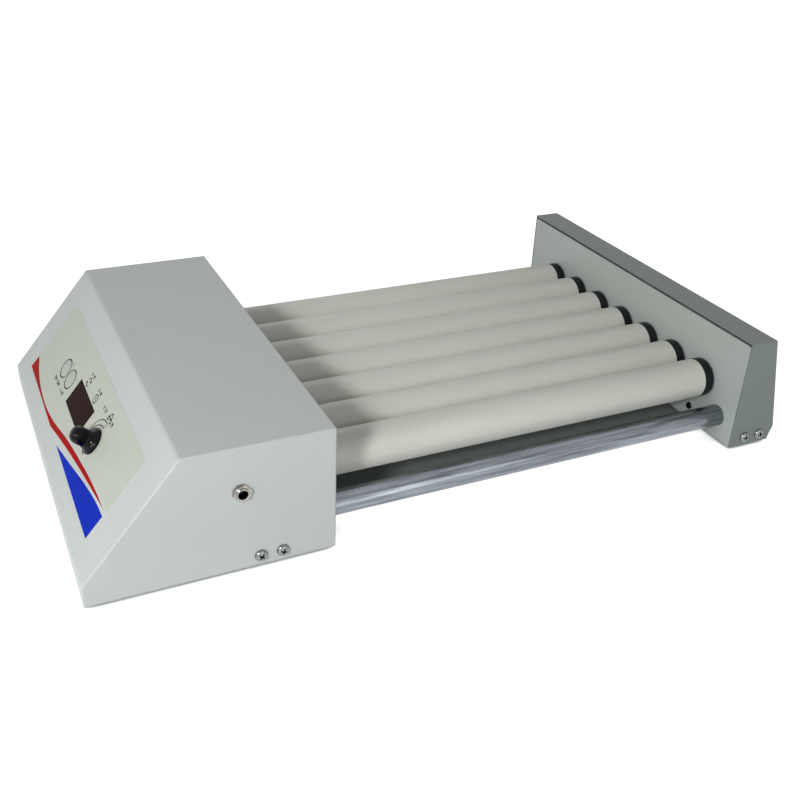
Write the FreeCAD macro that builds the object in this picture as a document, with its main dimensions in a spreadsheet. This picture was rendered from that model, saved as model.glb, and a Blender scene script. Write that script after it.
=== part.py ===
import FreeCAD, Part
import math
import os
import re

import Sketcher

# Tube roller mixer: a control box and an end housing, tied by two tubes, carry seven driven rollers.
# Machine frame while modelling: x = 0 at the front lip of the control box, y = 0 on the mid-plane,
# z = 0 on the table. Every piece is then shifted along x, so that the overall length is centred.

# Driving dimensions, in millimetres and degrees
DIMENSIONS = {
    # Both housings
    "body_width": 288,
    "housing_height": 85.5,
    "foot_lift": 2.5,
    "sheet_thick": 1.2,
    "seam_round": 1.0,
    "bend_round": 3,
    "plate_thick": 2,
    "plate_top_gap": 1.8,
    "fit_gap": 0.3,
    "tray_thick": 1.5,
    "tray_flange_height": 16,
    "tray_flange_width": 210,
    "control_tab_length": 34,
    # Control box
    "control_length": 152.5,
    "lip_height": 14,
    "slope_depth": 60,
    "front_flange_height": 9,
    # Rollers' free length between the two housings
    "roller_span": 315,
    # End housing
    "end_top_depth": 23,
    "end_foot_depth": 40,
    "end_toe_depth": 36.5,
    "end_tab_length": 29,
    "end_lip_height": 11,
    # Rollers
    "roller_diameter": 29,
    "roller_bore": 23,
    "roller_pitch": 33.5,
    "roller_height": 39,
    "roller_edge_round": 0.6,
    "rim_length": 7.2,
    "rim_gap": 1.2,
    "rim_round": 0.8,
    "throw_distance": 1.5,
    "rest_phase_degrees": -25,
    "spigot_length": 12,
    "spigot_wall": 2.5,
    "journal_diameter": 8,
    "idle_journal_tail": 2,
    # Bushes
    "bush_diameter": 12,
    "bush_flange_diameter": 16,
    "bush_flange_thick": 1.5,
    "bush_tail": 5,
    "running_clearance": 0.06,
    "seat_clearance": 0.03,
    # Pulleys and round belts
    "pulley_diameter": 22,
    "pulley_length": 15.5,
    "pulley_gap": 0.5,
    "groove_inset": 4.2,
    "groove_spacing": 7,
    "groove_angle": 50,
    "belt_thick": 3,
    "belt_clearance": 0.3,
    "belt_ride": 0.7,
    "motor_pulley_diameter": 16,
    "motor_pulley_length": 9,
    # Gear motor
    "motor_diameter": 32,
    "gearbox_length": 22,
    "motor_can_diameter": 28,
    "motor_can_length": 36,
    "motor_boss_diameter": 10,
    "motor_boss_length": 3,
    "motor_shaft_diameter": 5,
    "motor_shaft_depth": 15,
    "motor_lift": 1.5,
    "motor_bracket_gap": 1.5,
    "motor_screw_circle": 25,
    "bracket_thick": 2,
    "bracket_width": 40,
    "bracket_foot_length": 18,
    "bracket_screw_spacing": 30,
    # Tie tubes
    "tie_tube_diameter": 16,
    "tie_tube_wall": 2,
    "tie_tube_inset": 19.5,
    "tie_tube_height": 18,
    "tie_plug_length": 14,
    "tie_screw_diameter": 6,
    "tie_screw_head": 10,
    "tie_screw_head_height": 4,
    "tie_screw_reach": 10,
    # Cover screws
    "cover_screw_diameter": 4,
    "cover_screw_head": 8,
    "cover_screw_head_height": 2.6,
    "cover_screw_reach": 7,
    "cover_screw_height": 7,
    "cover_screw_spacing": 13.8,
    "control_screw_depth": 34.2,
    "end_screw_depth": 12.4,
    # Small screws
    "small_screw_diameter": 3,
    "small_screw_head": 5.6,
    "small_screw_head_height": 1.9,
    "small_screw_reach": 5,
    "plate_screw_offset": 95.2,
    "plate_screw_height": 10.3,
    "screw_hole_play": 0.3,
    # Feet
    "foot_diameter": 14,
    "foot_stem_diameter": 4,
    "foot_head_diameter": 5.6,
    "foot_head_height": 1.6,
    "foot_offset": 115,
    "foot_front_inset": 25,
    "foot_plate_inset": 34,
    "end_foot_inset": 18,
    # Control panel, measured up the slope from the lip and across from the mid-plane
    "overlay_thick": 0.3,
    "overlay_width": 234,
    "overlay_height": 60.2,
    "overlay_round": 6,
    "overlay_up": 43.9,
    "overlay_across": 0,
    "window_width": 46,
    "window_height": 18,
    "window_round": 1.5,
    "window_up": 43,
    "window_across": 2.5,
    "window_flange": 3,
    "window_flange_thick": 1,
    "panel_gap": 0.2,
    "display_depth": 8,
    "display_margin": 2,
    "key_length": 12.4,
    "key_width": 14.4,
    "key_up": 43.7,
    "key_first_across": 58.9,
    "key_pitch": 17.5,
    "key_flange": 1.2,
    "key_flange_thick": 1,
    "key_travel": 0.4,
    "key_plunger_gap": 0.1,
    "switch_side": 6,
    "switch_height": 3.5,
    "switch_plunger_diameter": 3.5,
    "knob_up": 43.5,
    "knob_across": -46.4,
    "knob_skirt_diameter": 18,
    "knob_skirt_edge": 1.6,
    "knob_waist_height": 5.2,
    "knob_waist_round": 3,
    "knob_head_diameter": 11.6,
    "knob_crown_round": 4.4,
    "knob_height": 15.2,
    "knob_gap": 0.5,
    "knob_recess_diameter": 14,
    "knob_recess_height": 1.6,
    "knob_socket_height": 12,
    "knob_mark_width": 1,
    "knob_mark_length": 1.6,
    "pot_diameter": 16.5,
    "pot_bushing_diameter": 8,
    "pot_shaft_diameter": 6,
    "pot_shaft_depth": 6,
    "board_thick": 1.6,
    "board_width": 164,
    "board_height": 50,
    "board_up": 43,
    "board_across": 6,
    "spacer_diameter": 6,
    "spacer_inset": 4,
    "connector_width": 22,
    "connector_height": 6,
    "connector_depth": 7,
    # Power socket
    "socket_depth": 58.4,
    "socket_height": 55.4,
    "socket_barrel_diameter": 8,
    "socket_mouth_diameter": 5.6,
    "socket_mouth_depth": 9,
    "socket_pin_diameter": 2.1,
    "socket_reach": 3.6,
    "socket_body_diameter": 11,
    "socket_body_length": 12,
    "socket_nut_width": 10,
    "socket_nut_thick": 2,
    "socket_washer_diameter": 11.4,
    "socket_washer_thick": 0.6,
}

ROLLER_COUNT = 7

doc = FreeCAD.newDocument("tube_roller_mixer")
sheet = doc.addObject("Spreadsheet::Sheet", "Dims")
for row, (alias, size) in enumerate(DIMENSIONS.items(), start=1):
    sheet.set(f"A{row}", str(size))
    sheet.setAlias(f"A{row}", alias)
doc.recompute()

# Each finished piece, by the name of its node
pieces = {}


# Sizes and places as expressions on the sheet
def sized(text):
    """Return the expression with each dimension's name pointing at its cell."""
    return re.sub(r"\b(" + "|".join(DIMENSIONS) + r")\b", r"Dims.\1", str(text))


def number(text):
    """Return the present value of an expression."""
    return float(sheet.evalExpression(sized(text)))


def bind(piece, **sizes):
    """Tie properties of a piece to expressions on the sheet."""
    for name, text in sizes.items():
        piece.setExpression(name, sized(text))


OVERALL = "(control_length + roller_span + end_foot_depth)"
HALF_WIDTH = "(body_width / 2)"
TOP = "(foot_lift + housing_height)"
FLOOR = "(foot_lift + tray_thick)"
ROLLER_AXIS = "(foot_lift + roller_height)"
CONTROL_FACE = "control_length"
END_FACE = "(control_length + roller_span)"
SLOPE_RISE = "(housing_height - lip_height)"
SLOPE_LENGTH = f"sqrt(slope_depth ^ 2 + {SLOPE_RISE} ^ 2)"
END_RUN = "(end_foot_depth - end_top_depth)"
END_RISE = "(housing_height - end_lip_height)"
TOE_RUN = "(end_foot_depth - end_toe_depth)"
PLATE_HALF_WIDTH = f"({HALF_WIDTH} - sheet_thick - fit_gap)"
TIE_OFFSET = f"({HALF_WIDTH} - tie_tube_inset)"
TIE_AXIS = "(foot_lift + tie_tube_height)"
SCREW_AXIS = "(foot_lift + cover_screw_height)"
BELT_RADIUS = "(pulley_diameter / 2 - belt_ride)"
MOTOR_BELT_RADIUS = "(motor_pulley_diameter / 2 - belt_ride)"
GROOVE_RADIUS = "(belt_thick / 2 + belt_clearance)"
PULLEY_END = "(control_length - plate_thick - bush_tail - pulley_gap)"
FIRST_GROOVE = f"({PULLEY_END} - groove_inset)"
SECOND_GROOVE = f"({FIRST_GROOVE} - groove_spacing)"
BRACKET_FACE = f"({PULLEY_END} - pulley_length - motor_bracket_gap)"
MOTOR_ACROSS = f"({(ROLLER_COUNT - 2) / 2} * roller_pitch)"
MOTOR_AXIS = f"({FLOOR} + motor_lift + motor_diameter / 2)"
PANEL_BACK = "(-sheet_thick)"
BOARD_FACE = "(-sheet_thick - window_flange_thick - display_depth)"


def roller_across(index):
    """Return the place of a roller's turning axis across the width, roller 1 being the nearest."""
    return f"({index - (ROLLER_COUNT + 1) / 2} * roller_pitch)"


# Building blocks
def place(piece, x="0", y="0", z="0"):
    """Put a piece in the machine frame, with the overall length centred on the origin."""
    bind(piece, **{
        "Placement.Base.x": f"{x} - {OVERALL} / 2",
        "Placement.Base.y": y,
        "Placement.Base.z": z,
    })


def turn(piece, axis, angle):
    """Turn a piece about an axis through its own origin; the angle is an expression or a number."""
    piece.Placement = FreeCAD.Placement(piece.Placement.Base, FreeCAD.Rotation(FreeCAD.Vector(*axis), 1))
    bind(piece, **{"Placement.Rotation.Angle": angle})


def place_on_panel(piece, up="0", across="0", out="0", tip="0 deg"):
    """Put a piece on the sloping panel: its own x runs up the slope and its z points outwards."""
    cosine = f"slope_depth / {SLOPE_LENGTH}"
    sine = f"{SLOPE_RISE} / {SLOPE_LENGTH}"
    turn(piece, (0, -1, 0), f"atan({SLOPE_RISE} / slope_depth) + {tip}")
    place(
        piece,
        f"({up}) * {cosine} - ({out}) * {sine}",
        across,
        f"foot_lift + lip_height + ({up}) * {sine} + ({out}) * {cosine}",
    )


def keep(piece, node):
    """Name a finished piece and list it for export."""
    piece.Label = node
    pieces[node] = piece
    return piece


def new_body(name):
    return doc.addObject("PartDesign::Body", name)


def new_sketch(body, name, role, offset="0"):
    """Attach a sketch to one of the body's own origin planes, moved along the plane's normal."""
    sketch = body.newObject("Sketcher::SketchObject", f"{body.Name}_{name}")
    plane = next(item for item in body.Origin.OriginFeatures if item.Role == role)
    sketch.AttachmentSupport = (plane, "")
    sketch.MapMode = "FlatFace"
    bind(sketch, **{"AttachmentOffset.Base.z": offset})
    return sketch


def tie_point(sketch, shape_index, point_index, x, y):
    """Tie a sketch point to its distances from the sketch's origin."""
    for kind, text in (("DistanceX", x), ("DistanceY", y)):
        constraint = Sketcher.Constraint(kind, -1, 1, shape_index, point_index, number(text))
        row = sketch.addConstraint(constraint)
        sketch.setExpression(f"Constraints[{row}]", sized(text))


def outline(sketch, points):
    """Draw a closed outline of straight lines through points given as expressions."""
    first = sketch.GeometryCount
    corners = [FreeCAD.Vector(number(x), number(y), 0) for x, y in points]
    for corner, following in zip(corners, corners[1:] + corners[:1]):
        sketch.addGeometry(Part.LineSegment(corner, following), False)
    for step in range(len(points)):
        after = first + (step + 1) % len(points)
        sketch.addConstraint(Sketcher.Constraint("Coincident", first + step, 2, after, 1))
    for step, (x, y) in enumerate(points):
        tie_point(sketch, first + step, 1, x, y)


def rectangle(sketch, x, y, width, height):
    """Draw a rectangle about its centre."""
    left, right = f"({x}) - ({width}) / 2", f"({x}) + ({width}) / 2"
    low, high = f"({y}) - ({height}) / 2", f"({y}) + ({height}) / 2"
    outline(sketch, [(left, low), (right, low), (right, high), (left, high)])


def circle(sketch, x, y, diameter):
    """Draw a circle with its centre and diameter tied to expressions."""
    centre = FreeCAD.Vector(number(x), number(y), 0)
    shape = Part.Circle(centre, FreeCAD.Vector(0, 0, 1), number(diameter) / 2)
    index = sketch.addGeometry(shape, False)
    tie_point(sketch, index, 3, x, y)
    row = sketch.addConstraint(Sketcher.Constraint("Diameter", index, number(diameter)))
    sketch.setExpression(f"Constraints[{row}]", sized(diameter))


def oval(sketch, x, y, length, width):
    """Draw an ellipse, given its size along the sketch's x and along its y."""
    centre = FreeCAD.Vector(number(x), number(y), 0)
    ends = [
        centre + FreeCAD.Vector(number(length) / 2, 0, 0),
        centre + FreeCAD.Vector(0, number(width) / 2, 0),
    ]
    if number(width) > number(length):
        ends.reverse()
    index = sketch.addGeometry(Part.Ellipse(ends[0], ends[1], centre), False)
    sketch.addConstraint(Sketcher.Constraint("Block", index))


def hexagon(sketch, width):
    """Draw a hexagon of the given width across its flats, centred on the sketch's origin."""
    corner = f"({width}) / sqrt(3)"
    points = []
    for step in range(6):
        cosine, sine = math.cos(math.radians(60 * step)), math.sin(math.radians(60 * step))
        points.append((f"{cosine:.6f} * {corner}", f"{sine:.6f} * {corner}"))
    outline(sketch, points)


def pad(body, sketch, length, side="One side", reverse=False):
    """Raise a sketch into a solid."""
    feature = body.newObject("PartDesign::Pad", f"{sketch.Name}_pad")
    feature.Profile = sketch
    feature.SideType = side
    feature.Reversed = reverse
    bind(feature, Length=length)
    doc.recompute()
    return feature


def pocket(body, sketch, length, side="One side", reverse=False):
    """Cut a sketch into the solid and make sure that it removed something."""
    before = body.Shape.Volume
    feature = body.newObject("PartDesign::Pocket", f"{sketch.Name}_cut")
    feature.Profile = sketch
    feature.SideType = side
    feature.Reversed = reverse
    bind(feature, Length=length)
    doc.recompute()
    if feature.Shape.Volume >= before - 0.001:
        raise RuntimeError(f"{sketch.Name} cuts nothing")
    return feature


def revolve(body, sketch, axis="H_Axis"):
    """Turn a half outline about one of the sketch's own axes."""
    feature = body.newObject("PartDesign::Revolution", f"{sketch.Name}_turned")
    feature.Profile = sketch
    feature.ReferenceAxis = (sketch, [axis])
    feature.Angle = 360
    doc.recompute()
    return feature


def groove(body, sketch, axis="H_Axis"):
    """Cut a closed outline, turned about one of the sketch's own axes, and check that it cut."""
    before = body.Shape.Volume
    feature = body.newObject("PartDesign::Groove", f"{sketch.Name}_turned")
    feature.Profile = sketch
    feature.ReferenceAxis = (sketch, [axis])
    feature.Angle = 360
    doc.recompute()
    if feature.Shape.Volume >= before - 0.001:
        raise RuntimeError(f"{sketch.Name} cuts nothing")
    return feature


def round_edges(body, base, points, radius):
    """Fillet the edges of a feature that pass through the given points."""
    chosen = []
    for point in points:
        vertex = Part.Vertex(*[number(value) for value in point])
        gaps = [edge.distToShape(vertex)[0] for edge in base.Shape.Edges]
        chosen.append(f"Edge{gaps.index(min(gaps)) + 1}")
    feature = body.newObject("PartDesign::Fillet", f"{base.Name}_rounded")
    feature.Base = (base, chosen)
    bind(feature, Radius=radius)
    doc.recompute()
    if not feature.isValid():
        raise RuntimeError(f"{feature.Name} can't be rounded")
    return feature


def linked_copy(node, seed):
    """Return a copy of a seed piece that can be placed by itself."""
    copy = doc.addObject("App::Link", f"{node}_copy")
    copy.LinkedObject = seed
    copy.LinkTransform = False
    return copy


def gather(node, copies):
    """Keep placed copies as one node of separate solids."""
    compound = doc.addObject("Part::Compound", node)
    compound.Links = copies
    return keep(compound, node)


def group(node, seed, placements):
    """Copy a seed piece to each placement and keep the copies as one node."""
    copies = []
    for x, y, z, axis, angle in placements:
        copy = linked_copy(node, seed)
        turn(copy, axis, angle)
        place(copy, x, y, z)
        copies.append(copy)
    return gather(node, copies)


# Housings of folded sheet
def inner_corners(corners):
    """Return a point close to each bend's inner edge, one sheet's thickness inside its outer edge."""
    points = []
    for (x0, z0), (x, z), (x1, z1) in zip(corners, corners[1:], corners[2:]):
        before = FreeCAD.Vector(number(x0) - number(x), 0, number(z0) - number(z)).normalize()
        after = FreeCAD.Vector(number(x1) - number(x), 0, number(z1) - number(z)).normalize()
        inward = (before + after).normalize()
        depth = 1 / math.sin(before.getAngle(after) / 2)
        points.append((
            f"{x} + sheet_thick * {depth * inward.x:.6f}", "0",
            f"{z} + sheet_thick * {depth * inward.z:.6f}",
        ))
    return points


def seam_points(corners):
    """Return a point on each seam between the folded strip and the side walls."""
    points = []
    for (x1, z1), (x2, z2) in zip(corners, corners[1:]):
        middle = (f"(({x1}) + ({x2})) / 2", f"(({z1}) + ({z2})) / 2")
        points.append((middle[0], f"-{HALF_WIDTH}", middle[1]))
        points.append((middle[0], HALF_WIDTH, middle[1]))
    return points


def folded_cover(name, corners, foot, open_side):
    """Fold a cover from its side outline, open below and on the side that faces the rollers.

    The corners run from the lower edge, up and over, to the edge at the bearing plate.
    """
    body = new_body(name)
    sketch = new_sketch(body, "side", "XZ_Plane")
    outline(sketch, corners + [foot])
    solid = pad(body, sketch, "body_width", side="Symmetric")
    open_faces = []
    for index, face in enumerate(solid.Shape.Faces, start=1):
        box = face.BoundBox
        under = box.ZLength < 0.001 and abs(box.ZMin - number("foot_lift")) < 0.001
        facing = box.XLength < 0.001 and abs(box.XMin - number(open_side)) < 0.001
        if under or facing:
            open_faces.append(f"Face{index}")
    shell = body.newObject("PartDesign::Thickness", f"{name}_shell")
    shell.Base = (solid, open_faces)
    shell.Join = "Intersection"
    shell.Reversed = True
    bind(shell, Value="sheet_thick")
    doc.recompute()
    bends = round_edges(body, shell, [(x, "0", z) for x, z in corners[1:-1]], "bend_round")
    inner_bends = round_edges(body, bends, inner_corners(corners), "bend_round - sheet_thick")
    round_edges(body, inner_bends, seam_points(corners), "seam_round")
    return body


def side_screw_holes(body, first, spacing, diameter):
    """Drill both side walls for the cover screws."""
    sketch = new_sketch(body, "screw_holes", "XZ_Plane")
    circle(sketch, first, SCREW_AXIS, diameter)
    circle(sketch, f"{first} + {spacing}", SCREW_AXIS, diameter)
    pocket(body, sketch, "body_width * 2", side="Symmetric")


COVER_HOLE = "(cover_screw_diameter + screw_hole_play)"
COVER_THREAD = "(cover_screw_diameter + 2 * seat_clearance)"
SMALL_HOLE = "(small_screw_diameter + screw_hole_play)"
SMALL_THREAD = "(small_screw_diameter + 2 * seat_clearance)"
CONTROL_SCREW = f"({CONTROL_FACE} - control_screw_depth - cover_screw_spacing)"
END_SCREW = f"({END_FACE} + end_screw_depth)"


def panel_sketch(body, name, out="0"):
    """Attach a sketch to the sloping panel, its x running up the slope from the lip."""
    sketch = body.newObject("Sketcher::SketchObject", f"{body.Name}_{name}")
    plane = next(item for item in body.Origin.OriginFeatures if item.Role == "XY_Plane")
    sketch.AttachmentSupport = (plane, "")
    sketch.MapMode = "FlatFace"
    sketch.AttachmentOffset = FreeCAD.Placement(FreeCAD.Vector(), FreeCAD.Rotation(FreeCAD.Vector(0, -1, 0), 1))
    cosine = f"slope_depth / {SLOPE_LENGTH}"
    sine = f"{SLOPE_RISE} / {SLOPE_LENGTH}"
    bind(sketch, **{
        "AttachmentOffset.Rotation.Angle": f"atan({SLOPE_RISE} / slope_depth)",
        "AttachmentOffset.Base.x": f"-({out}) * {sine}",
        "AttachmentOffset.Base.z": f"foot_lift + lip_height + ({out}) * {cosine}",
    })
    return sketch


def key_across(index):
    return f"(key_first_across - {index} * key_pitch)"


def panel_openings(sketch, x="0", y="0", bushing="pot_bushing_diameter"):
    """Draw the window, the two keys and the knob's hole, about a point given on the panel."""
    rectangle(
        sketch, f"window_up - ({x})", f"window_across - ({y})",
        "window_height + 2 * panel_gap", "window_width + 2 * panel_gap",
    )
    for index in range(2):
        oval(
            sketch, f"key_up - ({x})", f"{key_across(index)} - ({y})",
            "key_length + 2 * panel_gap", "key_width + 2 * panel_gap",
        )
    circle(sketch, f"knob_up - ({x})", f"knob_across - ({y})", f"{bushing} + 2 * panel_gap")


def make_control_cover():
    """Lip, slope and top with both side walls, folded from one sheet and welded at the seams."""
    lower_lip = ("0", "foot_lift")
    upper_lip = ("0", "foot_lift + lip_height")
    top_front = ("slope_depth", TOP)
    top_back = (CONTROL_FACE, TOP)
    foot = (CONTROL_FACE, "foot_lift")
    body = folded_cover("control_cover", [lower_lip, upper_lip, top_front, top_back], foot, CONTROL_FACE)
    side_screw_holes(body, CONTROL_SCREW, "cover_screw_spacing", COVER_HOLE)
    openings = panel_sketch(body, "panel_openings", out="2 * sheet_thick")
    panel_openings(openings)
    pocket(body, openings, "5 * sheet_thick")
    socket = new_sketch(body, "socket_hole", "XZ_Plane", offset=f"{HALF_WIDTH} - 5 * sheet_thick")
    circle(
        socket, f"{CONTROL_FACE} - socket_depth", "foot_lift + socket_height",
        "socket_barrel_diameter + 2 * panel_gap",
    )
    pocket(body, socket, "10 * sheet_thick", reverse=True)
    place(body)
    keep(body, "control_cover")


def make_end_cover():
    """Narrow top, sloping outer wall and cut-back toe, with both side walls."""
    toe = (f"{END_FACE} + end_toe_depth", "foot_lift")
    lip = (f"{END_FACE} + end_foot_depth", "foot_lift + end_lip_height")
    top_back = (f"{END_FACE} + end_top_depth", TOP)
    top_front = (END_FACE, TOP)
    foot = (END_FACE, "foot_lift")
    body = folded_cover("end_cover", [toe, lip, top_back, top_front], foot, END_FACE)
    side_screw_holes(body, END_SCREW, "cover_screw_spacing", COVER_HOLE)
    place(body)
    keep(body, "end_cover")


def make_bearing_plate(node, face, inward):
    """Plate that closes a housing towards the rollers; inward is -1 or 1 along x from its face."""
    body = new_body(node)
    sketch = new_sketch(body, "plate", "YZ_Plane", offset=face)
    low = "foot_lift"
    high = f"{TOP} - sheet_thick - plate_top_gap"
    outline(sketch, [
        (f"-{PLATE_HALF_WIDTH}", low), (PLATE_HALF_WIDTH, low),
        (PLATE_HALF_WIDTH, high), (f"-{PLATE_HALF_WIDTH}", high),
    ])
    for index in range(1, ROLLER_COUNT + 1):
        circle(sketch, roller_across(index), ROLLER_AXIS, "bush_diameter + 2 * seat_clearance")
    for side in (-1, 1):
        circle(sketch, f"{side} * {TIE_OFFSET}", TIE_AXIS, "tie_screw_diameter + screw_hole_play")
        circle(sketch, f"{side} * plate_screw_offset", "foot_lift + plate_screw_height", SMALL_HOLE)
    solid = pad(body, sketch, "plate_thick", reverse=inward < 0)
    middle = f"{face} + {inward} * plate_thick / 2"
    corners = [(middle, f"{side} * {PLATE_HALF_WIDTH}", high) for side in (-1, 1)]
    round_edges(body, solid, corners, "2 * seam_round")
    place(body)
    keep(body, node)


def make_base(node, face, inward, far_edge, front_flange, tab_length, first_screw, foot_places):
    """Folded floor tray with a flange for the bearing plate and a tab for each side wall."""
    body = new_body(node)
    inner_face = f"({face} + {inward} * plate_thick)"
    floor = new_sketch(body, "floor", "XY_Plane", offset="foot_lift")
    outline(floor, [
        (inner_face, f"-{PLATE_HALF_WIDTH}"), (inner_face, PLATE_HALF_WIDTH),
        (far_edge, PLATE_HALF_WIDTH), (far_edge, f"-{PLATE_HALF_WIDTH}"),
    ])
    for x, y in foot_places:
        circle(floor, x, y, "foot_stem_diameter + 2 * seat_clearance")
    if node == "control_base":
        for side in (-1, 1):
            across = f"{MOTOR_ACROSS} + {side} * bracket_screw_spacing / 2"
            circle(floor, BRACKET_SCREW, across, SMALL_THREAD)
    pad(body, floor, "tray_thick")

    flange = new_sketch(body, "plate_flange", "YZ_Plane", offset=inner_face)
    rectangle(
        flange, "0", "foot_lift + tray_flange_height / 2", "tray_flange_width", "tray_flange_height",
    )
    for side in (-1, 1):
        circle(flange, f"{side} * plate_screw_offset", "foot_lift + plate_screw_height", SMALL_THREAD)
    pad(body, flange, "tray_thick", reverse=inward < 0)

    middle = f"{first_screw} + cover_screw_spacing / 2"
    for side in (-1, 1):
        tab = new_sketch(body, f"tab_{'near' if side < 0 else 'far'}", "XZ_Plane",
                         offset=f"{-side} * {PLATE_HALF_WIDTH}")
        rectangle(tab, middle, "foot_lift + tray_flange_height / 2", tab_length, "tray_flange_height")
        circle(tab, first_screw, SCREW_AXIS, COVER_THREAD)
        circle(tab, f"{first_screw} + cover_screw_spacing", SCREW_AXIS, COVER_THREAD)
        pad(body, tab, "tray_thick", reverse=side < 0)

    if front_flange:
        lip = new_sketch(body, "front_flange", "YZ_Plane", offset=far_edge)
        rectangle(
            lip, "0", "foot_lift + front_flange_height / 2",
            f"2 * {PLATE_HALF_WIDTH}", "front_flange_height",
        )
        pad(body, lip, "tray_thick")
    place(body)
    keep(body, node)


# Rollers
ROLLER_START = "(rim_gap + rim_length)"
ROLLER_LENGTH = f"(roller_span - 2 * {ROLLER_START})"
TILT = f"atan(2 * throw_distance / {ROLLER_LENGTH})"


def tilt_axis():
    """Direction about which a roller leans, at right angles to the throw at rest."""
    phase = math.radians(number("rest_phase_degrees"))
    return FreeCAD.Vector(0, math.sin(phase), -math.cos(phase))


def throw_shift(part):
    """Return the expressions that move a point by a part of the throw, at the rest phase."""
    phase = math.radians(number("rest_phase_degrees"))
    across = f"{part} * throw_distance * {math.cos(phase):.6f}"
    upward = f"{part} * throw_distance * {math.sin(phase):.6f}"
    return across, upward


def lean(piece, index, along, part):
    """Place a piece on the leaning roller's own axis, at a distance from the control plate."""
    piece.Placement = FreeCAD.Placement(FreeCAD.Vector(), FreeCAD.Rotation(tilt_axis(), 1))
    bind(piece, **{"Placement.Rotation.Angle": TILT})
    across, upward = throw_shift(part)
    place(
        piece, f"{CONTROL_FACE} + {along}",
        f"{roller_across(index)} + {across}", f"{ROLLER_AXIS} + {upward}",
    )


def make_roller_tube(index):
    """Plain tube of the roller, its axis leaning by the throw of the plugs."""
    body = new_body(f"roller_tube_{index}")
    sketch = new_sketch(body, "wall", "YZ_Plane")
    circle(sketch, "0", "0", "roller_diameter")
    circle(sketch, "0", "0", "roller_bore")
    wall = pad(body, sketch, ROLLER_LENGTH)
    ends = [("0", "0", "roller_diameter / 2"), (ROLLER_LENGTH, "0", "roller_diameter / 2")]
    round_edges(body, wall, ends, "roller_edge_round")
    lean(body, index, ROLLER_START, 1)
    keep(body, f"roller_tube_{index}")


def rod(name, diameter, length):
    """Cylinder along x, from its own origin."""
    piece = doc.addObject("Part::Cylinder", name)
    bind(piece, Radius=f"({diameter}) / 2", Height=length)
    return piece


def along_x(piece, x, y, z):
    """Lay a cylinder along +x, straight in the machine frame."""
    turn(piece, (0, 1, 0), "90")
    place(piece, x, y, z)


def make_plug(index, end):
    """Moulded end plug: a rim outside the tube, a hollow spigot in it and an offset journal."""
    driven = end == "drive"
    node = f"{end}_plug_{index}"
    moulding = new_body(f"{node}_moulding")
    profile = new_sketch(moulding, "profile", "XZ_Plane")
    inward = 1 if driven else -1
    spigot = "(roller_bore / 2 - seat_clearance)"
    bore = f"({spigot} - spigot_wall)"
    outline(profile, [
        ("0", "0"), ("0", "roller_diameter / 2"), (f"{inward} * rim_length", "roller_diameter / 2"),
        (f"{inward} * rim_length", spigot), (f"{inward} * (rim_length + spigot_length)", spigot),
        (f"{inward} * (rim_length + spigot_length)", bore),
        (f"{inward} * (rim_length - spigot_wall)", bore), (f"{inward} * (rim_length - spigot_wall)", "0"),
    ])
    turned = revolve(moulding, profile)
    rim = [("0", "roller_diameter / 2", "0")]
    round_edges(moulding, turned, rim, "rim_round")
    along = "rim_gap" if driven else "roller_span - rim_gap"
    lean(moulding, index, along, f"{inward} * (1 + 2 * rim_length / {ROLLER_LENGTH})")

    journal_reach = "(rim_gap + plate_thick + bush_tail + pulley_gap + pulley_length)"
    if not driven:
        journal_reach = "(rim_gap + plate_thick + bush_tail + idle_journal_tail)"
    seat = "(rim_length / 2)"
    journal = rod(f"{node}_journal", "journal_diameter", f"{journal_reach} + {seat}")
    if driven:
        start = f"{CONTROL_FACE} + rim_gap - {journal_reach}"
    else:
        start = f"{END_FACE} - rim_gap - {seat}"
    along_x(journal, start, roller_across(index), ROLLER_AXIS)
    joined = doc.addObject("Part::Fuse", node)
    joined.Base = moulding
    joined.Tool = journal
    keep(joined, node)


def make_bushes():
    """Flanged bushes, pressed into both bearing plates from inside the housings."""
    seed = new_body("bush_seed")
    profile = new_sketch(seed, "profile", "XZ_Plane")
    bore = "(journal_diameter / 2 + running_clearance)"
    outline(profile, [
        ("0", bore), ("0", "bush_diameter / 2"), ("plate_thick", "bush_diameter / 2"),
        ("plate_thick", "bush_flange_diameter / 2"),
        ("plate_thick + bush_flange_thick", "bush_flange_diameter / 2"),
        ("plate_thick + bush_flange_thick", "bush_diameter / 2"),
        ("plate_thick + bush_tail", "bush_diameter / 2"), ("plate_thick + bush_tail", bore),
    ])
    revolve(seed, profile)
    places = []
    for index in range(1, ROLLER_COUNT + 1):
        places.append((CONTROL_FACE, roller_across(index), ROLLER_AXIS, (0, 0, 1), "180"))
        places.append((END_FACE, roller_across(index), ROLLER_AXIS, (0, 0, 1), "0"))
    group("bearing_bushes", seed, places)


# Pulleys and belts
def grooved_pulley(body, diameter, length, bore, ride_radius, grooves):
    """Turned pulley along x; each groove's flanks and floor keep the same distance from its belt."""
    profile = new_sketch(body, "profile", "XZ_Plane")
    surface = f"({diameter} / 2)"
    middle = f"({GROOVE_RADIUS} / cos(groove_angle / 2))"
    mouth = f"({middle} + ({surface} - {ride_radius}) * tan(groove_angle / 2))"
    floor = f"({middle} - {GROOVE_RADIUS} * tan(groove_angle / 2))"
    depth = f"({ride_radius} - {GROOVE_RADIUS})"
    corners = [("0", bore), ("0", surface)]
    for along in grooves:
        corners += [(f"{along} + {mouth}", surface), (f"{along} + {floor}", depth)]
        corners += [(f"{along} - {floor}", depth), (f"{along} - {mouth}", surface)]
    corners += [(f"-{length}", surface), (f"-{length}", bore)]
    outline(profile, corners)
    revolve(body, profile)


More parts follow.
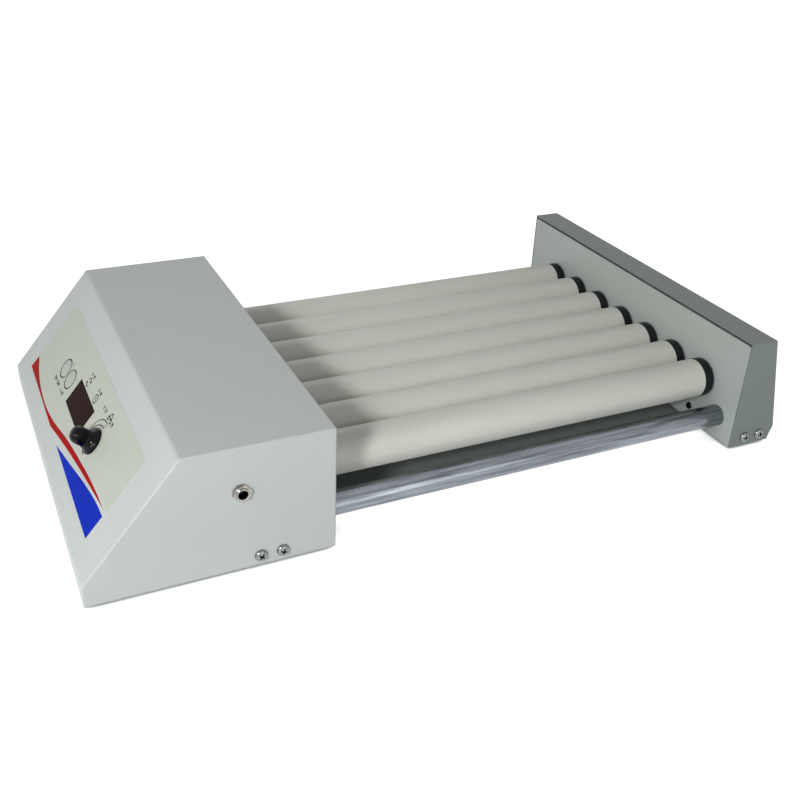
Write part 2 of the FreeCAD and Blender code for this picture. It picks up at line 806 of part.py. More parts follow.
def make_roller_pulley(index):
    """Twin-groove pulley, pressed on the driven journal inside the control box."""
    body = new_body(f"roller_pulley_{index}")
    bore = "(journal_diameter / 2 + seat_clearance)"
    grooves = ["-groove_inset", "-groove_inset - groove_spacing"]
    grooved_pulley(body, "pulley_diameter", "pulley_length", bore, BELT_RADIUS, grooves)
    place(body, PULLEY_END, roller_across(index), ROLLER_AXIS)
    keep(body, f"roller_pulley_{index}")


def belt_loop(plane, first, second, first_radius, second_radius):
    """Round belt that lies over two pulleys; each centre is a (y, z) pair of numbers."""
    (y1, z1), (y2, z2) = first, second
    distance = math.hypot(y2 - y1, z2 - z1)
    heading = math.atan2(z2 - z1, y2 - y1)
    spread = math.acos((first_radius - second_radius) / distance)

    def rim_point(centre, radius, angle):
        y, z = centre
        return FreeCAD.Vector(plane, y + radius * math.cos(angle), z + radius * math.sin(angle))

    upper, lower = heading + spread, heading - spread
    start = rim_point(first, first_radius, upper)
    end = rim_point(first, first_radius, lower)
    far_start = rim_point(second, second_radius, upper)
    far_end = rim_point(second, second_radius, lower)
    back = rim_point(first, first_radius, heading + math.pi)
    front = rim_point(second, second_radius, heading)
    path = Part.Wire([
        Part.LineSegment(start, far_start).toShape(),
        Part.Arc(far_start, front, far_end).toShape(),
        Part.LineSegment(far_end, end).toShape(),
        Part.Arc(end, back, start).toShape(),
    ])
    direction = far_start - start
    section = Part.Wire([Part.Circle(start, direction, number("belt_thick") / 2).toShape()])
    return path.makePipeShell([section], True, False)


def make_roller_belts():
    """Round belts that pass the drive from each roller to the next, in two staggered planes."""
    loops = []
    height = number(ROLLER_AXIS)
    radius = number(BELT_RADIUS)
    for index in range(1, ROLLER_COUNT):
        plane = number(FIRST_GROOVE if index % 2 else SECOND_GROOVE)
        first = (number(roller_across(index)), height)
        second = (number(roller_across(index + 1)), height)
        loops.append(belt_loop(plane, first, second, radius, radius))
    belts = doc.addObject("Part::Feature", "roller_belts")
    belts.Shape = Part.makeCompound(loops)
    place(belts)
    keep(belts, "roller_belts")


def make_motor_belt():
    """Round belt from the motor's pulley up to the last roller's free groove."""
    motor = (number(MOTOR_ACROSS), number(MOTOR_AXIS))
    roller = (number(roller_across(ROLLER_COUNT)), number(ROLLER_AXIS))
    loop = belt_loop(number(FIRST_GROOVE), motor, roller, number(MOTOR_BELT_RADIUS), number(BELT_RADIUS))
    belt = doc.addObject("Part::Feature", "motor_belt")
    belt.Shape = loop
    place(belt)
    keep(belt, "motor_belt")


# Gear motor
BRACKET_SCREW = f"({BRACKET_FACE} + bracket_foot_length / 2)"


def make_drive_motor():
    """Gear motor lying along x: boss, gearbox, can and rear cap, bored for its output shaft."""
    body = new_body("drive_motor")
    profile = new_sketch(body, "profile", "XZ_Plane")
    bore = "(motor_shaft_diameter / 2 + running_clearance)"
    rear = "(gearbox_length + motor_can_length)"
    cap = "(motor_can_diameter / 2 - 2 * bracket_thick)"
    outline(profile, [
        ("motor_boss_length", bore), ("motor_boss_length", "motor_boss_diameter / 2"),
        ("0", "motor_boss_diameter / 2"), ("0", "motor_diameter / 2"),
        ("-gearbox_length", "motor_diameter / 2"), ("-gearbox_length", "motor_can_diameter / 2"),
        (f"-{rear}", "motor_can_diameter / 2"), (f"-{rear}", cap),
        (f"-{rear} - bracket_thick", cap), (f"-{rear} - bracket_thick", "0"),
        ("-motor_shaft_depth", "0"), ("-motor_shaft_depth", bore),
    ])
    revolve(body, profile)
    holes = new_sketch(body, "face_holes", "YZ_Plane")
    for side in (-1, 1):
        circle(holes, f"{side} * motor_screw_circle / 2", "0", SMALL_THREAD)
    pocket(body, holes, "small_screw_reach")
    place(body, f"{BRACKET_FACE} - bracket_thick", MOTOR_ACROSS, MOTOR_AXIS)
    keep(body, "drive_motor")


def make_motor_bracket():
    """Angle bracket that holds the motor's face above the floor."""
    body = new_body("motor_bracket")
    wall = new_sketch(body, "wall", "YZ_Plane", offset=f"{BRACKET_FACE} - bracket_thick")
    height = f"({MOTOR_AXIS} + motor_diameter / 2 - {FLOOR})"
    rectangle(wall, MOTOR_ACROSS, f"{FLOOR} + {height} / 2", "bracket_width", height)
    circle(wall, MOTOR_ACROSS, MOTOR_AXIS, "motor_boss_diameter + screw_hole_play")
    for side in (-1, 1):
        circle(wall, f"{MOTOR_ACROSS} + {side} * motor_screw_circle / 2", MOTOR_AXIS, SMALL_HOLE)
    pad(body, wall, "bracket_thick")
    foot = new_sketch(body, "foot", "XY_Plane", offset=FLOOR)
    rectangle(
        foot, f"{BRACKET_FACE} + bracket_foot_length / 2 - bracket_thick / 2", MOTOR_ACROSS,
        "bracket_foot_length + bracket_thick", "bracket_width",
    )
    for side in (-1, 1):
        across = f"{MOTOR_ACROSS} + {side} * bracket_screw_spacing / 2"
        circle(foot, BRACKET_SCREW, across, SMALL_HOLE)
    pad(body, foot, "bracket_thick")
    place(body)
    keep(body, "motor_bracket")


def make_motor_drive():
    """Output shaft and its single-groove pulley."""
    shaft = rod(
        "motor_shaft", "motor_shaft_diameter",
        f"{FIRST_GROOVE} + motor_pulley_length / 2 - ({BRACKET_FACE} - bracket_thick - motor_shaft_depth)"
        " - running_clearance",
    )
    start = f"{BRACKET_FACE} - bracket_thick - motor_shaft_depth + running_clearance"
    along_x(shaft, start, MOTOR_ACROSS, MOTOR_AXIS)
    keep(shaft, "motor_shaft")
    body = new_body("motor_pulley")
    bore = "(motor_shaft_diameter / 2 + seat_clearance)"
    grooved_pulley(
        body, "motor_pulley_diameter", "motor_pulley_length", bore, MOTOR_BELT_RADIUS,
        ["-motor_pulley_length / 2"],
    )
    place(body, f"{FIRST_GROOVE} + motor_pulley_length / 2", MOTOR_ACROSS, MOTOR_AXIS)
    keep(body, "motor_pulley")


# Tie tubes
def make_tie_tube(node, side):
    """Steel tube between the bearing plates, with a threaded plug welded into each end."""
    body = new_body(node)
    wall = new_sketch(body, "wall", "YZ_Plane")
    circle(wall, "0", "0", "tie_tube_diameter")
    circle(wall, "0", "0", "tie_tube_diameter - 2 * tie_tube_wall")
    pad(body, wall, "roller_span")
    for end, start in (("drive", "0"), ("idle", "roller_span - tie_plug_length")):
        plug = new_sketch(body, f"{end}_plug", "YZ_Plane", offset=start)
        circle(plug, "0", "0", "tie_tube_diameter - tie_tube_wall")
        circle(plug, "0", "0", "tie_screw_diameter + 2 * seat_clearance")
        pad(body, plug, "tie_plug_length")
    place(body, CONTROL_FACE, f"{side} * {TIE_OFFSET}", TIE_AXIS)
    keep(body, node)


def make_tie_screws():
    """Socket-head screws that draw the bearing plates against the tie tubes' ends."""
    screw = new_body("tie_screw_seed")
    profile = new_sketch(screw, "profile", "XZ_Plane")
    reach = "(plate_thick + tie_screw_reach)"
    outline(profile, [
        ("0", "0"), ("0", "tie_screw_head / 2"), ("tie_screw_head_height", "tie_screw_head / 2"),
        ("tie_screw_head_height", "tie_screw_diameter / 2"),
        (f"tie_screw_head_height + {reach}", "tie_screw_diameter / 2"),
        (f"tie_screw_head_height + {reach}", "0"),
    ])
    revolve(screw, profile)
    head_face = new_sketch(screw, "drive_recess", "YZ_Plane")
    hexagon(head_face, "tie_screw_head / 2")
    pocket(screw, head_face, "tie_screw_head_height / 2", reverse=True)
    screws = []
    for side in (-1, 1):
        across = f"{side} * {TIE_OFFSET}"
        head = "plate_thick + tie_screw_head_height"
        screws.append((f"{CONTROL_FACE} - ({head})", across, TIE_AXIS, (0, 0, 1), "0"))
        screws.append((f"{END_FACE} + {head}", across, TIE_AXIS, (0, 0, 1), "180"))
    group("tie_tube_screws", screw, screws)


# Screws and feet
def pan_head_screw(name, diameter, head, head_height, reach):
    """Pan-head screw along its own x, with its seat at x = 0 and its head on the -x side."""
    body = new_body(name)
    profile = new_sketch(body, "profile", "XZ_Plane")
    outline(profile, [
        (f"-{head_height}", "0"), (f"-{head_height}", f"{head} / 2 - {head_height} / 2"),
        (f"-{head_height} / 2", f"{head} / 2"), ("0", f"{head} / 2"),
        ("0", f"{diameter} / 2"), (reach, f"{diameter} / 2"), (reach, "0"),
    ])
    revolve(body, profile)
    return body


def make_cover_screws():
    """Screws through the side walls into the trays' tabs, two on each side of each housing."""
    seed = pan_head_screw(
        "cover_screw_seed", "cover_screw_diameter", "cover_screw_head",
        "cover_screw_head_height", "cover_screw_reach",
    )
    places = []
    for first in (CONTROL_SCREW, END_SCREW):
        for along in (first, f"{first} + cover_screw_spacing"):
            places.append((along, f"-{HALF_WIDTH}", SCREW_AXIS, (0, 0, 1), "90"))
            places.append((along, HALF_WIDTH, SCREW_AXIS, (0, 0, 1), "-90"))
    group("cover_screws", seed, places)


def make_small_screws():
    """Small screws of the bearing plates, the motor, its bracket and the circuit board."""
    seed = pan_head_screw(
        "small_screw_seed", "small_screw_diameter", "small_screw_head",
        "small_screw_head_height", "small_screw_reach",
    )
    height = "foot_lift + plate_screw_height"
    places = []
    for side in (-1, 1):
        places.append((CONTROL_FACE, f"{side} * plate_screw_offset", height, (0, 0, 1), "180"))
        places.append((END_FACE, f"{side} * plate_screw_offset", height, (0, 0, 1), "0"))
        motor = f"{MOTOR_ACROSS} + {side} * motor_screw_circle / 2"
        places.append((BRACKET_FACE, motor, MOTOR_AXIS, (0, 0, 1), "180"))
        foot = f"{MOTOR_ACROSS} + {side} * bracket_screw_spacing / 2"
        places.append((BRACKET_SCREW, foot, f"{FLOOR} + bracket_thick", (0, 1, 0), "90"))
    screws = []
    for x, y, z, axis, angle in places:
        screw = linked_copy("small_screws", seed)
        turn(screw, axis, angle)
        place(screw, x, y, z)
        screws.append(screw)
    for up, across in board_corners():
        screw = linked_copy("small_screws", seed)
        place_on_panel(
            screw, f"board_up + {up}", f"board_across + {across}",
            f"{BOARD_FACE} - board_thick", tip="90 deg",
        )
        screws.append(screw)
    gather("small_screws", screws)


CONTROL_FEET = [
    (along, f"{side} * foot_offset")
    for along in ("foot_front_inset", f"({CONTROL_FACE} - foot_plate_inset)")
    for side in (-1, 1)
]
END_FEET = [(f"({END_FACE} + end_foot_inset)", f"{side} * foot_offset") for side in (-1, 1)]


def make_feet():
    """Push-in rubber feet; each stem passes the floor and spreads above it."""
    seed = new_body("foot_seed")
    profile = new_sketch(seed, "profile", "XZ_Plane")
    head_start = "(foot_lift + tray_thick)"
    outline(profile, [
        ("0", "0"), ("foot_diameter / 2 - foot_lift / 4", "0"), ("foot_diameter / 2", "foot_lift"),
        ("foot_stem_diameter / 2", "foot_lift"), ("foot_stem_diameter / 2", head_start),
        ("foot_head_diameter / 2", head_start),
        ("foot_stem_diameter / 2", f"{head_start} + foot_head_height"),
        ("0", f"{head_start} + foot_head_height"),
    ])
    revolve(seed, profile, axis="V_Axis")
    places = [(x, y, "0", (0, 0, 1), "0") for x, y in CONTROL_FEET + END_FEET]
    group("rubber_feet", seed, places)


# Control panel
def make_panel_overlay():
    """Printed film on the slope, cut out for the window, the keys and the knob."""
    body = new_body("panel_overlay")
    sketch = new_sketch(body, "film", "XY_Plane")
    rectangle(sketch, "0", "0", "overlay_height", "overlay_width")
    panel_openings(sketch, "overlay_up", "overlay_across")
    film = pad(body, sketch, "overlay_thick")
    corners = [
        (f"{u} * overlay_height / 2", f"{v} * overlay_width / 2", "overlay_thick / 2")
        for u in (-1, 1) for v in (-1, 1)
    ]
    round_edges(body, film, corners, "overlay_round")
    place_on_panel(body, "overlay_up", "overlay_across")
    keep(body, "panel_overlay")


def make_display_window():
    """Tinted window, flush with the film, with a flange behind the sheet."""
    body = new_body("display_window")
    front = new_sketch(body, "front", "XY_Plane", offset=PANEL_BACK)
    rectangle(front, "0", "0", "window_height", "window_width")
    pane = pad(body, front, "sheet_thick + overlay_thick")
    corners = [
        (f"{u} * window_height / 2", f"{v} * window_width / 2", "0") for u in (-1, 1) for v in (-1, 1)
    ]
    round_edges(body, pane, corners, "window_round")
    back = new_sketch(body, "flange", "XY_Plane", offset=PANEL_BACK)
    rectangle(
        back, "0", "0", "window_height + 2 * window_flange", "window_width + 2 * window_flange",
    )
    pad(body, back, "window_flange_thick", reverse=True)
    place_on_panel(body, "window_up", "window_across")
    keep(body, "display_window")


def make_display_module():
    """Block of the digital read-out, between the window and the board."""
    body = new_body("display_module")
    block = new_sketch(body, "block", "XY_Plane", offset=BOARD_FACE)
    rectangle(
        block, "0", "0", "window_height + 2 * display_margin", "window_width + 2 * display_margin",
    )
    pad(body, block, "display_depth")
    place_on_panel(body, "window_up", "window_across")
    keep(body, "display_module")


def make_key(index):
    """Oval key, level with the film, held in by a flange behind the sheet."""
    node = f"key_{index + 1}"
    body = new_body(node)
    cap = new_sketch(body, "cap", "XY_Plane", offset=PANEL_BACK)
    oval(cap, "0", "0", "key_length", "key_width")
    pad(body, cap, "sheet_thick + overlay_thick")
    flange = new_sketch(body, "flange", "XY_Plane", offset=PANEL_BACK)
    oval(flange, "0", "0", "key_length + 2 * key_flange", "key_width + 2 * key_flange")
    pad(body, flange, "key_flange_thick", reverse=True)
    place_on_panel(body, "key_up", key_across(index))
    keep(body, node)


def make_key_switches():
    """Push switches on the board, one plunger behind each key."""
    seed = new_body("key_switch_seed")
    case = new_sketch(seed, "case", "XY_Plane", offset=BOARD_FACE)
    rectangle(case, "0", "0", "switch_side", "switch_side")
    pad(seed, case, "switch_height")
    plunger = new_sketch(seed, "plunger", "XY_Plane", offset=f"{BOARD_FACE} + switch_height")
    circle(plunger, "0", "0", "switch_plunger_diameter")
    tip = f"({PANEL_BACK} - key_flange_thick - key_travel - key_plunger_gap)"
    pad(seed, plunger, f"{tip} - {BOARD_FACE} - switch_height")
    switches = []
    for index in range(2):
        switch = linked_copy("key_switches", seed)
        place_on_panel(switch, "key_up", key_across(index))
        switches.append(switch)
    gather("key_switches", switches)


def make_knob():
    """Skirted knob with a domed head, hollow below for the bushing and bored for its spindle."""
    body = new_body("speed_knob")
    profile = new_sketch(body, "profile", "XZ_Plane")
    head = "knob_head_diameter / 2"
    bore = "(pot_shaft_diameter / 2 + seat_clearance)"
    recess = "knob_recess_diameter / 2"
    outline(profile, [
        (recess, "0"), ("knob_skirt_diameter / 2", "0"), ("knob_skirt_diameter / 2", "knob_skirt_edge"),
        (head, "knob_waist_height"), (head, "knob_height"), ("0", "knob_height"),
        ("0", "knob_socket_height"), (bore, "knob_socket_height"),
        (bore, "knob_recess_height"), (recess, "knob_recess_height"),
    ])
    turned = revolve(body, profile, axis="V_Axis")
    crown = [("0", head, "knob_height")]
    round_edges(body, turned, crown, "knob_crown_round")
    waist = new_sketch(body, "waist", "XZ_Plane")
    circle(waist, f"{head} + knob_waist_round", "knob_waist_height", "2 * knob_waist_round")
    groove(body, waist, axis="V_Axis")
    mark = new_sketch(body, "mark", "XY_Plane", offset="knob_skirt_edge")
    rectangle(mark, "-knob_skirt_diameter / 2", "0", "2 * knob_mark_length", "knob_mark_width")
    pocket(body, mark, "knob_skirt_edge", side="Symmetric")
    place_on_panel(body, "knob_up", "knob_across", "overlay_thick + knob_gap")
    keep(body, "speed_knob")


def make_potentiometer():
    """Potentiometer on the board, its bushing in the sheet's hole, and its spindle."""
    body = new_body("potentiometer")
    case = new_sketch(body, "case", "XY_Plane", offset=BOARD_FACE)
    circle(case, "0", "0", "pot_diameter")
    pad(body, case, f"{PANEL_BACK} - panel_gap - {BOARD_FACE}")
    bushing = new_sketch(body, "bushing", "XY_Plane", offset=f"{PANEL_BACK} - panel_gap")
    circle(bushing, "0", "0", "pot_bushing_diameter")
    pad(body, bushing, "panel_gap + sheet_thick + overlay_thick")
    bore = new_sketch(body, "bore", "XY_Plane", offset="overlay_thick")
    circle(bore, "0", "0", "pot_shaft_diameter + 2 * running_clearance")
    pocket(body, bore, "sheet_thick + overlay_thick + pot_shaft_depth")
    place_on_panel(body, "knob_up", "knob_across")
    keep(body, "potentiometer")

    spindle = new_body("potentiometer_spindle")
    start = f"({PANEL_BACK} - pot_shaft_depth + running_clearance)"
    end = "(overlay_thick + knob_gap + knob_socket_height)"
    section = new_sketch(spindle, "section", "XY_Plane", offset=start)
    circle(section, "0", "0", "pot_shaft_diameter")
    pad(spindle, section, f"{end} - {start}")
    place_on_panel(spindle, "knob_up", "knob_across")
    keep(spindle, "potentiometer_spindle")


def board_corners():
    """Places of the four spacers, from the board's centre."""
    up = "(board_height / 2 - spacer_inset)"
    across = "(board_width / 2 - spacer_inset)"
    return [(f"{u} * {up}", f"{v} * {across}") for u in (-1, 1) for v in (-1, 1)]


def make_circuit_board():
    """Control board behind the panel, with its wiring connector."""
    body = new_body("circuit_board")
    sheet_sketch = new_sketch(body, "board", "XY_Plane", offset=BOARD_FACE)
    rectangle(sheet_sketch, "0", "0", "board_height", "board_width")
    for up, across in board_corners():
        circle(sheet_sketch, up, across, SMALL_HOLE)
    pad(body, sheet_sketch, "board_thick", reverse=True)
    plug = new_sketch(body, "connector", "XY_Plane", offset=f"{BOARD_FACE} - board_thick")
    rectangle(plug, "-board_height / 4", "-board_width / 4", "connector_height", "connector_width")
    pad(body, plug, "connector_depth", reverse=True)
    place_on_panel(body, "board_up", "board_across")
    keep(body, "circuit_board")


def make_board_spacers():
    """Threaded spacers between the sheet and the board."""
    seed = new_body("board_spacer_seed")
    sketch = new_sketch(seed, "ring", "XY_Plane", offset=PANEL_BACK)
    circle(sketch, "0", "0", "spacer_diameter")
    circle(sketch, "0", "0", SMALL_THREAD)
    pad(seed, sketch, f"{PANEL_BACK} - {BOARD_FACE}", reverse=True)
    spacers = []
    for up, across in board_corners():
        spacer = linked_copy("board_spacers", seed)
        place_on_panel(spacer, f"board_up + {up}", f"board_across + {across}")
        spacers.append(spacer)
    gather("board_spacers", spacers)


# Power socket
def make_dc_socket():
    """Barrel power socket: threaded barrel through the near wall, contact pin, body behind."""
    body = new_body("dc_socket")
    profile = new_sketch(body, "profile", "YZ_Plane")
    front = "(-socket_reach)"
    behind = "sheet_thick"
    mouth = "socket_mouth_diameter / 2"
    pin = "socket_pin_diameter / 2"
    bottom = f"({front} + socket_mouth_depth)"
    outline(profile, [
        (front, mouth), (front, "socket_barrel_diameter / 2"), (behind, "socket_barrel_diameter / 2"),
        (behind, "socket_body_diameter / 2"),
        (f"{behind} + socket_body_length", "socket_body_diameter / 2"),
        (f"{behind} + socket_body_length", "0"),
        (f"{front} + 1", "0"), (f"{front} + 1", pin), (bottom, pin), (bottom, mouth),
    ])
    revolve(body, profile)
    along = f"{CONTROL_FACE} - socket_depth"
    place(body, along, f"-{HALF_WIDTH}", "foot_lift + socket_height")
    keep(body, "dc_socket")

    nut = new_body("dc_socket_nut")
    washer = new_sketch(nut, "washer", "XZ_Plane")
    bore = "socket_barrel_diameter + 2 * seat_clearance"
    circle(washer, "0", "0", "socket_washer_diameter")
    circle(washer, "0", "0", bore)
    pad(nut, washer, "socket_washer_thick")
    ring = new_sketch(nut, "ring", "XZ_Plane", offset="socket_washer_thick")
    hexagon(ring, "socket_nut_width")
    circle(ring, "0", "0", bore)
    pad(nut, ring, "socket_nut_thick")
    place(nut, along, f"-{HALF_WIDTH}", "foot_lift + socket_height")
    keep(nut, "dc_socket_nut")


# Assembly
make_control_cover()
make_bearing_plate("control_bearing_plate", CONTROL_FACE, -1)
make_base(
    "control_base", CONTROL_FACE, -1, "(sheet_thick + fit_gap)", True, "control_tab_length",
    CONTROL_SCREW, CONTROL_FEET,
)
make_end_cover()
make_bearing_plate("end_bearing_plate", END_FACE, 1)
make_base(
    "end_base", END_FACE, 1, f"({END_FACE} + end_toe_depth - sheet_thick - fit_gap)", False,
    "end_tab_length", END_SCREW, END_FEET,
)
for roller in range(1, ROLLER_COUNT + 1):
    make_roller_tube(roller)
    make_plug(roller, "drive")
    make_plug(roller, "idle")
    make_roller_pulley(roller)
make_bushes()
make_roller_belts()
make_motor_belt()
make_drive_motor()
make_motor_bracket()
make_motor_drive()
make_tie_tube("tie_tube_near", -1)
make_tie_tube("tie_tube_far", 1)
make_tie_screws()
make_cover_screws()
make_small_screws()
make_feet()
make_panel_overlay()
make_display_window()
make_display_module()
make_key(0)
make_key(1)
make_key_switches()
make_knob()
make_potentiometer()
make_circuit_board()
make_board_spacers()
make_dc_socket()

doc.recompute()
for item in doc.Objects:
    if {"Invalid", "Error"} & set(item.State):
        raise RuntimeError(f"{item.Label} failed: {item.State}")
for node, piece in pieces.items():
    if piece.Shape.isNull() or not piece.Shape.isValid() or not piece.Shape.Solids:
        raise RuntimeError(f"{node} is not a valid solid")

os.makedirs("parts", exist_ok=True)
for node, piece in pieces.items():
    piece.Shape.exportStep(f"parts/{node}.step")
print(f"{len(pieces)} nodes, {sum(len(piece.Shape.Solids) for piece in pieces.values())} solids")
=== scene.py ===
# %% [markdown]
# # A tube roller mixer
# A bench instrument that rolls and tips sample tubes. Seven pale rollers lie between a control box
# with a sloping panel and a narrow end housing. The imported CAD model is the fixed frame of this
# scene, and the cells below dress it. Sheet metal and hidden parts keep the CAD shape and get a
# finish. What the eye rests on is modelled again with softer edges and finer detail: rollers, tie
# tubes, screws, power socket, knob, keys and print.

# %% Load the frame
import math

import bmesh
import bpy
from mathutils import Matrix, Vector


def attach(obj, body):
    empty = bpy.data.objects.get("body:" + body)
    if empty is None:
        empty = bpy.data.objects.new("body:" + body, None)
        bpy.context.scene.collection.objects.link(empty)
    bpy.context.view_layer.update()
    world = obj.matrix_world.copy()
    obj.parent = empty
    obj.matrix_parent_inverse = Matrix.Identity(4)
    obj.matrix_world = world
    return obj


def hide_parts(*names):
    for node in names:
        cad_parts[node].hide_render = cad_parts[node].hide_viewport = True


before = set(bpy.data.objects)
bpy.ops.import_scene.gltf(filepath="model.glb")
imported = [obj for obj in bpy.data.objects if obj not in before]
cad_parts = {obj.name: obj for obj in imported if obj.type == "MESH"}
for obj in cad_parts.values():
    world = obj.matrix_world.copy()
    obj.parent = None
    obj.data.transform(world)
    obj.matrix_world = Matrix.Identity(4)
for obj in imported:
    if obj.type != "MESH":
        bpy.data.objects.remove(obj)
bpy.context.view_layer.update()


# %% [markdown]
# ## From millimetres to a finished piece
# The real pieces are drawn in millimetres, so the meshes are modelled in them too. One helper
# merges doubled corners, turns the faces outwards, shrinks the mesh to metres and hands it to the
# body that carries it. Edges flatter than a set angle are shaded smooth, so that round things look
# round and corners stay crisp. In one place for all, no piece misses a step.

# %% Keep a finished piece
MM = 0.001
MERGE = 0.0005
SMOOTH_BELOW = math.radians(32)


def new_object(name, data):
    """Put a mesh, curve, lamp or camera into the scene."""
    thing = bpy.data.objects.new(name, data)
    bpy.context.scene.collection.objects.link(thing)
    return thing


def keep_piece(bm, name, material, body, stands_for=()):
    """Make an object of a mesh that was modelled in millimetres at its own place."""
    bmesh.ops.remove_doubles(bm, verts=bm.verts, dist=MERGE)
    bmesh.ops.recalc_face_normals(bm, faces=bm.faces)
    bmesh.ops.scale(bm, vec=(MM, MM, MM), verts=bm.verts)
    mesh = bpy.data.meshes.new(name)
    bm.to_mesh(mesh)
    bm.free()
    mesh.shade_smooth()
    mesh.set_sharp_from_angle(angle=SMOOTH_BELOW)
    mesh.materials.append(material)
    piece = new_object(name, mesh)
    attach(piece, body)
    if stands_for:
        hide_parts(*stands_for)
    print(f"{name}: {len(mesh.polygons)} faces on {body}")


# %% [markdown]
# ## Turned shapes
# A roller, a knob, a screw and a washer all come from a lathe or a round mould. A cylinder could
# be cut to them, but one outline spun about an axis says the same in a few points. Each corner of
# the outline may first be rounded by a vertex bevel: no real edge is perfectly sharp, and it is
# the small radius that catches the light. A rounding of more than a millimetre gets six steps, a
# smaller one three.

# %% Spin an outline
def eased(bm, geom, size, segments, affect="EDGES"):
    """Round off edges or corners."""
    bmesh.ops.bevel(
        bm, geom=geom, offset=size, offset_type="OFFSET", affect=affect, segments=segments,
        profile=0.5, material=-1,
    )


def turned(outline, rounds, steps, ring=True):
    """Spin (along, radius) points about x; an outline that is no ring starts and ends on it."""
    bm = bmesh.new()
    points = [bm.verts.new((along, 0, radius)) for along, radius in outline]
    following = points[1:] + points[:1] if ring else points[1:]
    for pair in zip(points, following):
        bm.edges.new(pair)
    for corner, size in rounds.items():
        eased(bm, [points[corner]], size, 6 if size > 1 else 3, "VERTICES")
    bmesh.ops.spin(
        bm, geom=bm.verts[:] + bm.edges[:], cent=(0, 0, 0), axis=(1, 0, 0), dvec=(0, 0, 0),
        angle=2 * math.pi, steps=steps, use_merge=True,
    )
    bmesh.ops.remove_doubles(bm, verts=bm.verts, dist=MERGE)
    return bm


# %% [markdown]
# Several simple shapes often make one piece, such as a plug and its journal. A boolean could weld
# them. Closed shells that share one mesh look the same and keep every face clean.

# %% Place and join shapes
def put(bm, place):
    """Move a mesh to its place, and hand it on."""
    bmesh.ops.transform(bm, matrix=place, verts=bm.verts)
    return bm


def joined(parts):
    """Put several meshes into one."""
    whole = bmesh.new()
    for part in parts:
        spare = bpy.data.meshes.new("spare")
        part.to_mesh(spare)
        part.free()
        whole.from_mesh(spare)
        bpy.data.meshes.remove(spare)
    return whole


# %% [markdown]
# ## Finishes from nodes
# A material is a small network: coordinates feed patterns, the patterns vary colour, roughness and
# relief, and the shader puts them together. It could be clicked together in the editor. Here one
# small tool adds a node with its settings and links, and another turns screen colours into the
# linear values that light adds up in.

# %% Colours and nodes
def linear(text):
    """Turn a screen colour such as #C4CAC7 to linear red, green, blue and alpha."""
    values = [int(text[i:i + 2], 16) / 255 for i in (1, 3, 5)]
    return [v / 12.92 if v <= 0.04045 else ((v + 0.055) / 1.055) ** 2.4 for v in values] + [1.0]


def bare_tree(owner):
    """Empty node tree of a material or a world."""
    owner.use_nodes = True
    owner.node_tree.nodes.clear()
    return owner.node_tree


def add(tree, kind, settings=None, sockets=None):
    """Add a node. Each socket gets a fixed value, or reads another node's output."""
    node = tree.nodes.new(kind)
    for name, value in (settings or {}).items():
        setattr(node, name, value)
    for socket, value in (sockets or {}).items():
        if isinstance(value, bpy.types.NodeSocket):
            tree.links.new(value, node.inputs[socket])
        else:
            node.inputs[socket].default_value = value
    return node


# %% [markdown]
# Every surface of this machine is plain from afar and uneven from near: its colour drifts between
# two shades, and a fine grain roughens and lifts it. A picture of it would do too, but noise has
# no seams and needs no unwrapping. So one recipe serves all, and each finish gives it the sizes of
# its real pattern in millimetres. The grain of plated or turned metal is too fine to show, so it
# is drawn as coarse as 0.2 to 0.3 mm.

# %% One recipe for every finish
COLOUR_A, COLOUR_B, COLOUR_MIXED = 6, 7, 2  # sockets of a colour mix


def finish(name, dark, light, patch, grain, relief, rough,
           stretch=(1, 1, 1), edge=0, metal=0.0, shine=0.5):
    """A surface whose colour drifts between two shades and whose skin has a fine grain.

    patch and grain are the sizes of drift and grain, and relief is the grain's height, all in
    millimetres. rough is the lowest and highest roughness. stretch makes patches longer along an
    axis. edge is the radius that a coat gives an edge: it only turns the light there. metal is 1
    for bare metal, and shine is the strength of the mirror on anything else.
    """
    material = bpy.data.materials.new(name)
    tree = bare_tree(material)
    place = add(tree, "ShaderNodeTexCoord").outputs["Object"]
    along = [1 / size for size in stretch]
    pulled = add(tree, "ShaderNodeMapping", None, {"Vector": place, "Scale": along}).outputs[0]
    broad = {"Vector": pulled, "Scale": 1 / (patch * MM), "Detail": 3}
    drift = add(tree, "ShaderNodeTexNoise", None, broad).outputs["Fac"]
    shades = {"Factor": drift, COLOUR_A: linear(dark), COLOUR_B: linear(light)}
    shade = add(tree, "ShaderNodeMix", {"data_type": "RGBA"}, shades)
    close = {"Vector": pulled, "Scale": 1 / (grain * MM), "Detail": 2}
    fine = add(tree, "ShaderNodeTexNoise", None, close).outputs["Fac"]
    low, high = rough
    spread = {"Value": fine, "From Min": 0.3, "From Max": 0.7, "To Min": low, "To Max": high}
    gloss = add(tree, "ShaderNodeMapRange", None, spread)
    lift = {"Strength": 1.0, "Distance": relief * MM, "Height": fine}
    skin = add(tree, "ShaderNodeBump", None, lift)
    if edge:
        flow = add(tree, "ShaderNodeBevel", {"samples": 6}, {"Radius": edge * MM})
        tree.links.new(flow.outputs[0], skin.inputs["Normal"])
    surface = add(tree, "ShaderNodeBsdfPrincipled", {"label": "surface"}, {
        "Base Color": shade.outputs[COLOUR_MIXED], "Roughness": gloss.outputs[0],
        "Normal": skin.outputs[0], "Metallic": metal, "Specular IOR Level": shine,
    })
    add(tree, "ShaderNodeOutputMaterial", None, {"Surface": surface.outputs[0]})
    print(f"{name}: {dark} to {light}, roughness {low} to {high}")
    return material


# %% [markdown]
# A piece that keeps its CAD shape, because that is right already, only needs its slots filled.

